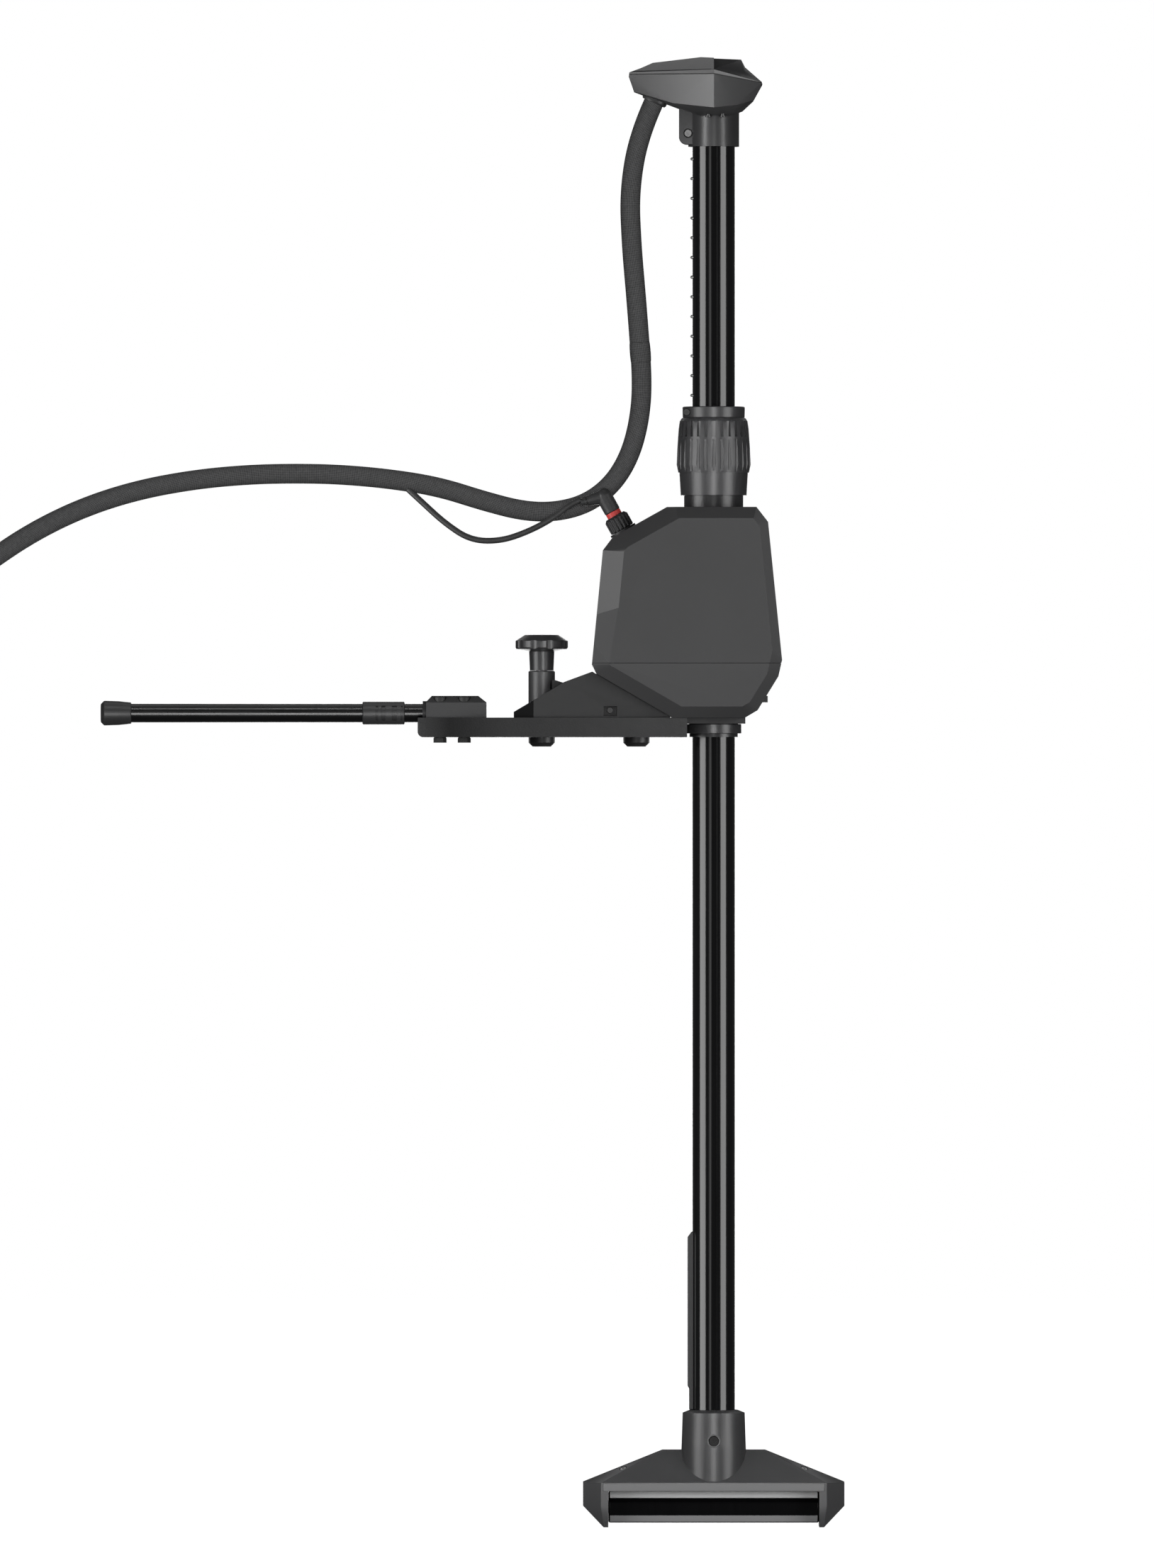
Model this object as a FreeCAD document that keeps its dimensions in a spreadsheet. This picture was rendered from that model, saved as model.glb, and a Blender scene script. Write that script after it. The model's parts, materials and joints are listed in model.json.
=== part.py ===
import FreeCAD
import Part

import math
import os
import re

import Sketcher
from FreeCAD import Placement, Rotation, Vector

# A motorised steering pole for a boat's bow: a turning mast with a sonar transducer bar at its
# foot, a sensor head on top, and a drive housing on a quick-release base plate.
# Millimetres, +Z up. The origin is the centre of the base plate's underside, and the mast
# turns about a vertical axis at x = axis_x. Nodes marked "round the axis" are drawn about it.

DIMENSIONS = [
    # mast, round the axis
    ("axis_x", 111), ("run_fit", 0.05), ("mast_r", 19), ("mast_wall", 3),
    ("mast_top", 588), ("mast_foot", -636), ("cable_r", 3.2),
    ("stud_count", 13), ("stud_top", 518), ("stud_pitch", 17.65), ("stud_r", 1.6),
    ("guard_top", -442.6), ("guard_step", -583), ("guard_foot", -602.2),
    ("guard_width", 14), ("guard_proud", 4.4), ("guard_thin", 3),
    # steering sleeve, flange, collet and gear, round the axis
    ("sleeve_r", 22), ("sleeve_low", 0.2), ("sleeve_top", 262),
    ("flange_r", 24.8), ("flange_low", 3.3), ("flange_high", 11.8), ("flange_gap", 0.8),
    ("neck_r", 26.5), ("neck_low", 203.1), ("neck_high", 216.4), ("thread_r", 25),
    ("collet_top", 281), ("collet_r_low", 24), ("collet_r_top", 21.5), ("collet_slit", 1.6),
    ("gear_module", 1.5), ("gear_teeth", 60), ("pinion_teeth", 16), ("sensor_teeth", 14),
    ("gear_low", 60), ("gear_width", 10), ("backlash", 0.42), ("sensor_bearing", 135),
    # collar nut and depth ring, round the axis
    ("nut_low", 216.6), ("nut_skirt", 236.9), ("nut_high", 285.8), ("nut_r", 33.2),
    ("nut_ribs", 28), ("rib_groove", 1.7), ("ring_low", 285.9), ("ring_high", 296.1),
    ("ring_r", 28), ("ring_slit", 4.6), ("ring_screw_x", -24.2), ("ring_screw_z", 291),
    # base plate
    ("plate_top", 17.5), ("plate_left", -154), ("plate_right", 87), ("plate_half", 45),
    ("pad_half", 24), ("sheet_low", 12.1), ("sheet_right", 139.3), ("sheet_half", 36),
    ("sheet_bore", 22.8), ("lug_r", 11.85), ("lug_drop", 8.4), ("lug_chamfer", 3.6),
    ("lug_left", -43), ("lug_right", 41.8), ("tap_r", 3.4), ("tap_depth", 20),
    ("nut_seat_r", 6.6), ("nut_seat", 0.4),
    # handle rod and its clamp block
    ("rod_z", 21.6), ("rod_r", 8.3), ("rod_wall", 1.8), ("rod_right", -96),
    ("block_left", -146.3), ("block_right", -92.5), ("block_top", 37), ("block_half", 20),
    ("gland_ring_left", -149.6), ("gland_ring_r", 10.8),
    ("bolt_left", -134.1), ("bolt_right", -112.4), ("bolt_y", 14), ("bolt_r", 3),
    ("nut_height", 5.3), ("nut_flat", 10),
    ("coupler_left", -203.6), ("coupler_right", -165.7), ("coupler_r", 10.2),
    ("groove_floor_r", 9.1), ("groove_half", 6.6),
    ("tip_left", -438), ("tip_right", -410.6), ("tip_r", 11.1), ("tip_neck_r", 9.5),
    # wedge bracket, lock knob and its sleeve
    ("wedge_half", 38), ("wedge_nose", 26), ("ridge_half", 15), ("window_x", 18.2),
    ("window_z", 23.3), ("window_w", 12), ("window_h", 8.6), ("window_deep", 8),
    ("lock_r", 11.9), ("lock_top", 59.6), ("pin_r", 5), ("spring_low", 33.2), ("spring_high", 53.8),
    ("knob_low", 59.8), ("knob_r", 23.7), ("knob_top", 92.1), ("knob_lobes", 10),
    # drive housing
    ("wall", 3), ("side_y", 48), ("front_y", 62), ("split_low", 65.9), ("split_high", 66.4),
    ("shoulder_y", 57.5), ("shoulder_z", 107.7), ("shoulder_slope", 0.295), ("shelf_y", 38),
    ("crest_x", 77.5), ("tab_right", 159.4), ("tab_low", 31.2), ("tab_high", 37),
    ("bush_r", 26), ("lower_bush_top", 34), ("upper_bush_low", 184), ("seal_low", 198),
    ("motor_x", 54), ("motor_r", 18), ("motor_plate_low", 73.5), ("motor_plate_high", 77),
    # cable plug on the housing's upper left face
    ("plug_x", 30.4), ("plug_y", -8), ("plug_z", 184.2), ("plug_tilt", -29.2),
    ("plug_nut_r", 11.15), ("plug_nut_low", 2.2), ("plug_nut_high", 16),
    ("plug_ring_r", 6.9), ("plug_ring_high", 20.2), ("elbow_r", 7.3), ("elbow_corner", 36),
    ("elbow_arm", 13.5), ("elbow_end_x", -0.6), ("elbow_end_z", 212), ("relief_long", 8),
    # sensor head and transducer bar, round the axis
    ("head_wall", 2.8), ("head_gap", 0.8), ("clamp_r", 22.8), ("clamp_low", 529), ("clamp_screw_x", -23),
    ("clamp_screw_z", 540.7), ("bar_z", -689.4), ("window_r", 14.2), ("window_half", 94.3),
    ("collar_top", -602.4), ("collar_r", 28.9), ("bar_screw_z", -629.8),
    # cords
    ("hose_r", 8.9), ("lead_r", 2.7), ("hose_y", 15), ("coil_x", -700), ("coil_y", 55),
    ("coil_r", 100),
    ("coil_turns", 2.75), ("coil_pitch", 18.4),
]

doc = FreeCAD.newDocument("steering_pole")
sheet = doc.addObject("Spreadsheet::Sheet", "dims")
ALIASES = {name for name, _ in DIMENSIONS}
WORD = re.compile(r"[a-z][a-z_0-9]*")
BIG = 400.0
finished = []


def fill_sheet():
    for row, (name, number) in enumerate(DIMENSIONS, start=1):
        sheet.set(f"A{row}", name)
        sheet.set(f"B{row}", str(number))
        sheet.setAlias(f"B{row}", name)
    doc.recompute()


def bind(text):
    """An expression in which each alias is written as a cell of the sheet."""
    return WORD.sub(lambda m: "dims." + m.group() if m.group() in ALIASES else m.group(), str(text))


def size(text):
    """The present value of an expression over the sheet."""
    return float(sheet.evalExpression(bind(text)))


def keep(thing, label):
    """Name a finished sub-part, which is written out at the end."""
    thing.Label = label
    finished.append(thing)
    return thing


# ---- PartDesign helpers ----

def new_body(name, x="0", y="0", z="0", turn=None):
    body = doc.addObject("PartDesign::Body", name)
    body.Placement = Placement(Vector(), turn or Rotation())
    for axis, text in zip("xyz", (x, y, z)):
        body.setExpression("Placement.Base." + axis, bind(text))
    return body


def origin_item(body, role):
    return next(item for item in body.Origin.OriginFeatures if item.Role == role)


def new_sketch(body, plane, offset):
    sketch = body.newObject("Sketcher::SketchObject", "sketch")
    sketch.AttachmentSupport = [(origin_item(body, plane), "")]
    sketch.MapMode = "FlatFace"
    sketch.setExpression("AttachmentOffset.Base.z", bind(offset))
    return sketch


def pin_point(sketch, geometry, point, place):
    """Tie a sketch point to a place given by two expressions."""
    for kind, text in zip(("DistanceX", "DistanceY"), place):
        number = sketch.addConstraint(Sketcher.Constraint(kind, -1, 1, geometry, point, size(text)))
        sketch.setExpression(f"Constraints[{number}]", bind(text))


def outline(body, plane, corners, offset="0"):
    """A closed sketch of straight edges through corners given as expressions."""
    sketch = new_sketch(body, plane, offset)
    points = [Vector(size(u), size(v), 0) for u, v in corners]
    count = len(points)
    for i in range(count):
        sketch.addGeometry(Part.LineSegment(points[i], points[(i + 1) % count]), False)
    for i in range(count):
        sketch.addConstraint(Sketcher.Constraint("Coincident", i, 2, (i + 1) % count, 1))
        pin_point(sketch, i, 1, corners[i])
    return sketch


def circles(body, plane, rings, offset="0"):
    """A sketch of circles, each (u, v, radius) in expressions."""
    sketch = new_sketch(body, plane, offset)
    for i, (u, v, radius) in enumerate(rings):
        centre = Vector(size(u), size(v), 0)
        sketch.addGeometry(Part.Circle(centre, Vector(0, 0, 1), size(radius)), False)
        pin_point(sketch, i, 3, (u, v))
        number = sketch.addConstraint(Sketcher.Constraint("Radius", i, size(radius)))
        sketch.setExpression(f"Constraints[{number}]", bind(radius))
    return sketch


def add_feature(body, kind, sketch, length, both=False, reverse=False):
    feature = body.newObject("PartDesign::" + kind, kind.lower())
    feature.Profile = sketch
    feature.SideType = "Symmetric" if both else "One side"
    feature.Reversed = reverse
    feature.setExpression("Length", bind(length))
    body.Tip = feature
    return feature


def pad(body, sketch, length, both=False, reverse=False):
    return add_feature(body, "Pad", sketch, length, both, reverse)


def pocket(body, sketch, length, both=False, reverse=False):
    return add_feature(body, "Pocket", sketch, length, both, reverse)


def revolve(body, corners):
    """Turn a profile, drawn as (radius, height), about the body's Z axis."""
    profile = outline(body, "XZ_Plane", corners)
    turn = body.newObject("PartDesign::Revolution", "turn")
    turn.Profile = profile
    turn.ReferenceAxis = (profile, ["V_Axis"])
    turn.Angle = 360
    body.Tip = turn
    return turn


def turned(label, corners, x="axis_x", y="0", z="0", turn=None):
    body = new_body(label, x, y, z, turn)
    revolve(body, corners)
    return body


def ring(label, inner, outer, low, high, x="axis_x", y="0"):
    return keep(turned(label, [(inner, low), (outer, low), (outer, high), (inner, high)], x, y), label)


def around(body, feature, count):
    """Repeat a feature evenly round the body's Z axis."""
    pattern = body.newObject("PartDesign::PolarPattern", "around")
    pattern.Originals = [feature]
    pattern.Axis = (origin_item(body, "Z_Axis"), [""])
    pattern.Angle = 360
    pattern.setExpression("Occurrences", bind(count))
    body.Tip = pattern
    return pattern


# ---- Part helpers ----

TURNS = {"Z": Rotation(), "X": Rotation(Vector(0, 1, 0), 90), "Y": Rotation(Vector(1, 0, 0), -90)}


def place(thing, x, y, z, along="Z"):
    thing.Placement = Placement(Vector(), TURNS[along])
    for axis, text in zip("xyz", (x, y, z)):
        thing.setExpression("Placement.Base." + axis, bind(text))
    return thing


def cylinder(radius, length, x, y, z, along="Z"):
    thing = doc.addObject("Part::Cylinder", "cylinder")
    thing.setExpression("Radius", bind(radius))
    thing.setExpression("Height", bind(length))
    return place(thing, x, y, z, along)


def box(length, width, height, x, y, z):
    thing = doc.addObject("Part::Box", "box")
    for name, text in (("Length", length), ("Width", width), ("Height", height)):
        thing.setExpression(name, bind(text))
    return place(thing, x, y, z)


def fuse(things, name="fuse"):
    joined = doc.addObject("Part::MultiFuse", name)
    joined.Shapes = things
    return joined


def cut(base, tools, name="cut"):
    result = doc.addObject("Part::Cut", name)
    result.Base = base
    result.Tool = tools[0] if len(tools) == 1 else fuse(tools, "tools")
    return result


def feature(name, shape):
    """A plain feature for a shape that no sketch or primitive makes."""
    thing = doc.addObject("Part::Feature", name)
    thing.Shape = shape
    return thing


def turned_shape(corners):
    """A solid of revolution about Z from (radius, height) corners given as numbers."""
    points = [Vector(r, 0, z) for r, z in corners]
    face = Part.Face(Part.makePolygon(points + points[:1]))
    return face.revolve(Vector(), Vector(0, 0, 1), 360)


def socket_screw(shank_r, shank, head_r, head, key_r):
    """A socket-head screw whose head sits on z = 0 and whose shank points down."""
    corners = [(0, -shank), (shank_r, -shank), (shank_r, 0), (head_r, 0), (head_r, head * 0.85),
               (head_r * 0.9, head), (0, head)]
    hexagon = [Vector(key_r * math.cos(a), key_r * math.sin(a), head * 0.4)
               for a in (i * math.pi / 3 for i in range(6))]
    key = Part.Face(Part.makePolygon(hexagon + hexagon[:1])).extrude(Vector(0, 0, head))
    return turned_shape(corners).cut(key)


def moved(shape, base, along=Vector(0, 0, 1)):
    """A copy of a shape whose own +Z points along a direction, at a place."""
    copy = shape.copy()
    copy.Placement = Placement(base, Rotation(Vector(0, 0, 1), along))
    return copy


def group(label, shapes):
    """Identical small parts kept together as separate solids of one node."""
    return keep(feature(label, Part.makeCompound(shapes)), label)


# ---- faceted shapes ----

def hull_planes(points):
    """The outer planes (point, outward normal) of a convex set of points."""
    planes = []
    count = len(points)
    for i in range(count):
        for j in range(i + 1, count):
            for k in range(j + 1, count):
                normal = (points[j] - points[i]).cross(points[k] - points[i])
                if normal.Length < 1e-6:
                    continue
                normal.normalize()
                sides = [(p - points[i]).dot(normal) for p in points]
                if max(sides) > 1e-6 and min(sides) < -1e-6:
                    continue
                if max(sides) > 1e-6:
                    normal = -normal
                if all((normal - n).Length > 1e-6 for _, n in planes):
                    planes.append((points[i], normal))
    return planes


def inside_planes(planes, inset=0.0):
    """The solid on the inner side of every plane, each moved inwards by inset."""
    span = 2000.0
    solid = Part.makeBox(span, span, span, Vector(-span / 2, -span / 2, -span / 2))
    for point, normal in planes:
        outside = Part.makeBox(2 * span, 2 * span, 2 * span, Vector(-span, -span, 0))
        outside.Placement = Placement(point - normal * inset, Rotation(Vector(0, 0, 1), normal))
        solid = solid.cut(outside)
    return solid


def mirrored_in_y(points):
    """Each (x, y, z) with its mirror image in the plane y = 0."""
    both = []
    for x, y, z in points:
        both.append(Vector(x, y, z))
        if abs(y) > 1e-9:
            both.append(Vector(x, -y, z))
    return both


# ---- cords ----

def arc_corner(before, corner, after):
    """Start, middle and end of the tangent arc at a corner, and its radius."""
    back = before - corner
    ahead = after - corner
    reach = 0.45 * min(back.Length, ahead.Length)
    back.normalize()
    ahead.normalize()
    half_turn = (math.pi - back.getAngle(ahead)) / 2
    radius = reach / math.tan(half_turn)
    bisector = back + ahead
    bisector.normalize()
    centre = corner + bisector * (radius / math.cos(half_turn))
    return corner + back * reach, centre - bisector * radius, corner + ahead * reach, radius


def tube(label, route, radius):
    """A plain tube of straight runs joined by tangent arcs."""
    points = [Vector(*p) for p in route]
    edges = []
    radii = []
    here = points[0]
    for before, corner, after in zip(points, points[1:], points[2:]):
        start, middle, end, bend = arc_corner(before, corner, after)
        edges.append(Part.LineSegment(here, start).toShape())
        edges.append(Part.Arc(start, middle, end).toShape())
        radii.append(bend)
        here = end
    edges.append(Part.LineSegment(here, points[-1]).toShape())
    path = Part.Wire(edges)
    section = Part.Wire(Part.makeCircle(radius, points[0], points[1] - points[0]))
    solid = path.makePipeShell([section], True, False)
    length = path.Length
    expected = math.pi * radius ** 2 * length
    print(f"{label}: length {length:.1f}, smallest radius {min(radii):.1f},"
          f" radii {[round(r) for r in radii]}, volume ratio {solid.Volume / expected:.4f}")
    return keep(feature(label, solid), label)


def hose_upper_route():
    """From the head's gland down to the band on the upright stretch."""
    return [(58.4, 0, 571), (44.5, 0.5, 541), (35.5, 1.5, 490), (37.5, 3, 440), (42, 5, 390),
            (45.3, 6.5, 345)]


def hose_lower_route():
    """From the band, down past the plug, out to the left and over to the coil on the deck."""
    y = size("hose_y")
    return [(45.3, 6.5, 345), (47.28, 7.4, 318), (44.6, 9.5, 284), (36.2, 11.5, 252.5),
            (20.8, 13.5, 227), (-2, y, 209.5), (-29.5, y + 0.5, 202), (-59, y, 202.5),
            (-94, y + 0.5, 211.5),
            (-135, y, 224.5), (-178, y + 0.5, 231.5), (-222, y, 235.5), (-262, y - 0.5, 236.5),
            (-306, y - 2.5, 235.5), (-354, y - 7.5, 231), (-405, y - 16, 221.5), (-453, y - 25.5, 206),
            (-498, y - 35, 184), (-539, y - 43, 156.5), (-577, y - 49.5, 126.5),
            (-614, y - 54.5, 99), (-654, y - 58.5, 77), (-694, y - 60, 65)]


def lead_route():
    """From the elbow plug, down in a shallow loop and up into the hose."""
    y = size("plug_y")
    corner, left = elbow_frame()
    start = corner + left * size("elbow_arm + relief_long")
    second = start + left * 9
    return [tuple(start), tuple(second), (-32, y, 195.5), (-54, y + 1, 184), (-80, y + 3, 175.5),
            (-106, y + 7, 176), (-127, y + 11.5, 190), (-143, y + 15.5, 205.5), (-155, y + 18.5, 220)]


fill_sheet()


# ---- base plate, lugs and handle ----

def base_plate():
    body = new_body("plate")
    plan = [("plate_left", "-pad_half"), ("-125", "-pad_half"), ("-74", "-plate_half"),
            ("plate_right", "-plate_half"), ("plate_right", "plate_half"), ("-74", "plate_half"),
            ("-125", "pad_half"), ("plate_left", "pad_half")]
    pad(body, outline(body, "XY_Plane", plan), "plate_top")
    sheet_plan = [("plate_right - 10", "-sheet_half"), ("sheet_right", "-sheet_half + 12"),
                  ("sheet_right", "sheet_half - 12"), ("plate_right - 10", "sheet_half")]
    last = pad(body, outline(body, "XY_Plane", sheet_plan, "sheet_low"), "plate_top - sheet_low")
    doc.recompute()
    names = [f"Edge{i}" for i, edge in enumerate(body.Shape.Edges, start=1)
             if edge.BoundBox.XMax < size("plate_left") + 0.01 and edge.BoundBox.ZMax < 0.01]
    rounded = body.newObject("PartDesign::Fillet", "corner")
    rounded.Base = (last, names)
    rounded.Radius = 5
    body.Tip = rounded
    lugs = []
    for x in ("lug_left", "lug_right"):
        profile = [("0", "-lug_drop"), ("lug_r - lug_chamfer", "-lug_drop"),
                   ("lug_r", "lug_chamfer - lug_drop"), ("lug_r", "1"), ("0", "1")]
        lugs.append(turned("lug", profile, x))
    holes = [cylinder("rod_r", "80", "block_right - 80", "0", "rod_z", "X"),
             cylinder("sheet_bore", "20", "axis_x", "0", "5"),
             cylinder("flange_r + flange_gap", "sheet_low + 5", "axis_x", "0", "-5"),
             cylinder("pin_r + run_fit", "40", "lug_left", "0", "-10"),
             cylinder("tap_r", "tap_depth", "lug_right", "0", "-lug_drop")]
    for x in ("bolt_left", "bolt_right"):
        for y in ("-bolt_y", "bolt_y"):
            holes.append(cylinder("bolt_r + 0.2", "30", x, y, "-5"))
            holes.append(cylinder("nut_seat_r", "5", x, y, "nut_seat - 5"))
    keep(cut(fuse([body] + lugs), holes), "base_plate")


def handle_parts():
    block = new_body("block")
    side = [("block_left", "plate_top"), ("block_right", "plate_top"), ("block_right", "31.2"),
            ("block_right - 7.3", "block_top"), ("block_left + 4.9", "block_top"),
            ("block_left", "31.8")]
    pad(block, outline(block, "XZ_Plane", side), "2 * block_half", both=True)
    for sign in ("-", ""):
        slope = [(sign + "(block_half + 1)", "block_top - 6.7"), (sign + "(block_half + 1)", "block_top + 1"),
                 (sign + "(block_half - 9)", "block_top + 1")]
        pocket(block, outline(block, "YZ_Plane", slope), "600", both=True)
    collar = cut(cylinder("gland_ring_r", "block_left - gland_ring_left + 1", "gland_ring_left", "0",
                          "rod_z", "X"), [box("10", "60", "20", "gland_ring_left - 1", "-30",
                                              "plate_top - 20")])
    block = fuse([block, collar])
    holes = [cylinder("rod_r", "80", "block_right - 79", "0", "rod_z", "X")]
    spots = [(x, y) for x in ("bolt_left", "bolt_right") for y in ("-bolt_y", "bolt_y")]
    for x, y in spots:
        holes.append(cylinder("bolt_r + 0.2", "40", x, y, "10"))
        holes.append(cylinder("5.6", "10", x, y, "block_top - 6.5"))
    keep(cut(block, holes), "handle_block")
    seat = size("block_top - 6.5")
    drop = size("nut_seat - nut_height")
    bolt = socket_screw(size("bolt_r"), seat - drop, 5, 6, 2.9)
    nut = hex_nut(size("nut_flat"), size("nut_height"), size("bolt_r"))
    places = [(size(x), size(y)) for x, y in spots]
    group("handle_bolts", [moved(bolt, Vector(x, y, seat)) for x, y in places])
    group("handle_nuts", [moved(nut, Vector(x, y, drop)) for x, y in places])


def hex_nut(flats, height, bore):
    """A hexagon nut standing on z = 0, with a chamfered rim."""
    corner = flats / math.sqrt(3)
    ends = [Vector(corner * math.cos(a), corner * math.sin(a), 0)
            for a in (i * math.pi / 3 for i in range(6))]
    prism = Part.Face(Part.makePolygon(ends + ends[:1])).extrude(Vector(0, 0, height))
    rim = Part.makeCone(corner + height * 0.55 - 0.8, corner - 0.8, height)
    return prism.common(rim).cut(Part.makeCylinder(bore, height))


# where the finger grooves across the coupler's front and back start and end, from its left end
COUPLER_GROOVES = [(12, 14), (17, 20.5), (26.5, 31), (34.5, 36)]


def rod_parts():
    along_x = TURNS["X"]
    spot = {"y": "0", "z": "rod_z", "turn": along_x}
    inner = "rod_r - rod_wall"
    length = "rod_right - tip_left - 8"
    rod = turned("rod", [(inner, "0"), ("rod_r", "0"), ("rod_r", length), (inner, length)],
                 "tip_left + 8", **spot)
    keep(rod, "handle_rod")
    long = "coupler_right - coupler_left"
    coupler = turned("coupler", [("rod_r", "0"), ("coupler_r - 0.8", "0"), ("coupler_r", "0.8"),
                                 ("coupler_r", long + " - 0.8"), ("coupler_r - 0.8", long),
                                 ("rod_r", long)], "coupler_left", **spot)
    grooves = []
    for start, end in COUPLER_GROOVES:
        x = f"coupler_left + {start}"
        wide = str(end - start)
        grooves.append(cut(box(wide, "40", "2 * groove_half", x, "-20", "rod_z - groove_half"),
                           [cylinder("groove_floor_r", wide, x, "0", "rod_z", "X")]))
    keep(cut(coupler, grooves), "handle_coupler")
    tip_long = "tip_right - tip_left"
    tip = turned("tip", [("0", "0"), ("tip_r - 3", "0"), ("tip_r", "3"), ("tip_r - 0.4", "16"),
                         ("tip_neck_r", tip_long), ("rod_r", tip_long), ("rod_r", "8"), ("0", "8")],
                 "tip_left", **spot)
    keep(tip, "handle_tip")


# ---- wedge bracket and spring lock ----

def wedge_bracket():
    body = new_body("wedge")
    side = [("-68", "plate_top"), ("72", "plate_top"), ("72", "18.4"), ("2.2", "58.6"),
            ("-22.7", "49.4"), ("-68", "22.6")]
    pad(body, outline(body, "XZ_Plane", side), "2 * wedge_half", both=True)
    for sign in ("-", ""):
        nose = [("-69", sign + "wedge_nose"), ("-50", sign + "(wedge_half + 0.2)"),
                ("-50", sign + "(wedge_half + 5)"), ("-69", sign + "(wedge_half + 5)")]
        pocket(body, outline(body, "XY_Plane", nose), "200", both=True)
    ridge = [("-34", "40"), ("-20", "40"), ("-20", "47.6"), ("-31.2", "51.2"), ("-34", "51.2")]
    pad(body, outline(body, "XZ_Plane", ridge), "2 * ridge_half", both=True)
    tools = [cylinder("lock_r", "60", "lug_left", "0", "10")]
    for y in ("-wedge_half - 1", "wedge_half - window_deep"):
        tools.append(box("window_w", "window_deep + 1", "window_h", "window_x - window_w / 2", y,
                         "window_z - window_h / 2"))
    tools.append(cylinder("2", "2 * wedge_half", "window_x", "-wedge_half", "window_z + 0.7", "Y"))
    keep(cut(body, tools), "wedge_bracket")
    reach = size("wedge_half - window_deep")
    screw = socket_screw(2, 18, 2.75, 3, 1.4)
    x = size("window_x")
    z = size("window_z + 0.7")
    group("wedge_screws", [moved(screw, Vector(x, s * reach, z), Vector(0, s, 0)) for s in (-1, 1)])


def lock_parts():
    bore = "pin_r + run_fit"
    sleeve = turned("sleeve", [("8.6", "plate_top"), ("lock_r", "plate_top"), ("lock_r", "lock_top - 1"),
                               ("lock_r - 1", "lock_top"), (bore, "lock_top"), (bore, "54"),
                               ("8.6", "54")], "lug_left")
    keep(sleeve, "lock_sleeve")
    pin = turned("pin", [("0", "-lug_drop"), ("pin_r - 1", "-lug_drop"), ("pin_r", "1 - lug_drop"),
                         ("pin_r", "30"), ("8.4", "30"), ("8.4", "33"), ("pin_r", "33"),
                         ("pin_r", "74"), ("0", "74")], "lug_left")
    keep(pin, "lock_pin")
    knob = turned("knob", [("pin_r", "knob_low"), ("10.6", "knob_low"), ("11.3", "76.7"),
                           ("knob_r - 1", "79"), ("knob_r", "80.4"), ("knob_r", "86.2"),
                           ("15.2", "91.6"), ("0", "knob_top"), ("0", "74"), ("pin_r", "74")],
                  "lug_left")
    lobe = circles(knob, "XY_Plane", [("knob_r + 7.4", "0", "8.4")], "70")
    around(knob, pocket(knob, lobe, "100", both=True), "knob_lobes")
    keep(knob, "lock_knob")
    low = size("spring_low")
    tall = size("spring_high") - low
    helix = Part.makeHelix(tall / 6 - 0.28, tall - 1.6, 6.9)
    wire = Part.Wire(Part.makeCircle(0.7, Vector(6.9, 0, 0), Vector(0, 1, 0.05)))
    coil = Part.Wire(helix).makePipeShell([wire], True, True)
    coil.translate(Vector(size("lug_left"), 0, low + 0.8))
    keep(feature("spring", coil), "lock_spring")


# ---- drive housing ----

HOUSING_CORNERS = [(69, 205.8), (149, 205.8), (159.4, 192.4), (171.9, 69), (168.6, 54.3),
                   (150, 24), (139, 17.5), (73.9, 17.5), (6.2, 56.6), (1.9, 65.2), (11.7, 167),
                   (20.4, 178.6)]
# how far in from each edge above the flat front face begins
HOUSING_BEVELS = [10.2, 8.5, 8, 10.5, 9.8, 9.8, 9.8, 12.5, 15, 19, 16, 14.3]
LEFT_EDGE = 9
SLANTED_EDGE = 11


def housing_planes(sides):
    """The planes of a housing whose edges, but for those in sides, all start side_y from the middle."""
    planes = []
    front = size("front_y")
    count = len(HOUSING_CORNERS)
    for i, bevel in enumerate(HOUSING_BEVELS):
        side = sides.get(i, size("side_y"))
        x, z = HOUSING_CORNERS[i]
        next_x, next_z = HOUSING_CORNERS[(i + 1) % count]
        outward = Vector(-(next_z - z), 0, next_x - x).normalize()
        planes.append((Vector(x, 0, z), outward))
        for sign in (-1, 1):
            slope = outward * (front - side) + Vector(0, sign * bevel, 0)
            planes.append((Vector(x, sign * side, z), slope.normalize()))
    for sign in (-1, 1):
        planes.append((Vector(0, sign * front, 0), Vector(0, sign, 0)))
    return planes


def housing_outer(core):
    """The core with a fuller shoulder low on its left and a crest along its top right."""
    shoulder = inside_planes(housing_planes({LEFT_EDGE: size("shoulder_y"), SLANTED_EDGE: size("shelf_y")}))
    start = Vector(0, 0, size("shoulder_z"))
    above = Vector(-size("shoulder_slope"), 0, 1).normalize()
    shoulder = shoulder.common(inside_planes([(start, above)]))
    crest = housing_planes({})
    for sign in (-1, 1):
        crest.append((Vector(size("crest_x"), sign * size("side_y"), HOUSING_CORNERS[0][1]),
                      Vector(-0.51, sign * 0.51, 0.69).normalize()))
    tab = Part.makeBox(30, 18, size("tab_high - tab_low"),
                       Vector(size("tab_right") - 30, -9, size("tab_low")))
    return core.fuse([shoulder, inside_planes(crest), tab]).removeSplitter()


def slab(low, high):
    """A wide flat block between two heights."""
    return Part.makeBox(2 * BIG, 2 * BIG, high - low, Vector(-BIG, -BIG, low))


def post(radius, x, y, low, high):
    return Part.makeCylinder(radius, high - low, Vector(x, y, low))


HOUSING_POSTS = [(45, -43), (45, 43), (145, -43), (145, 43)]
MOTOR_POSTS = [(34, -26), (34, 26), (70, -42)]


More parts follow.
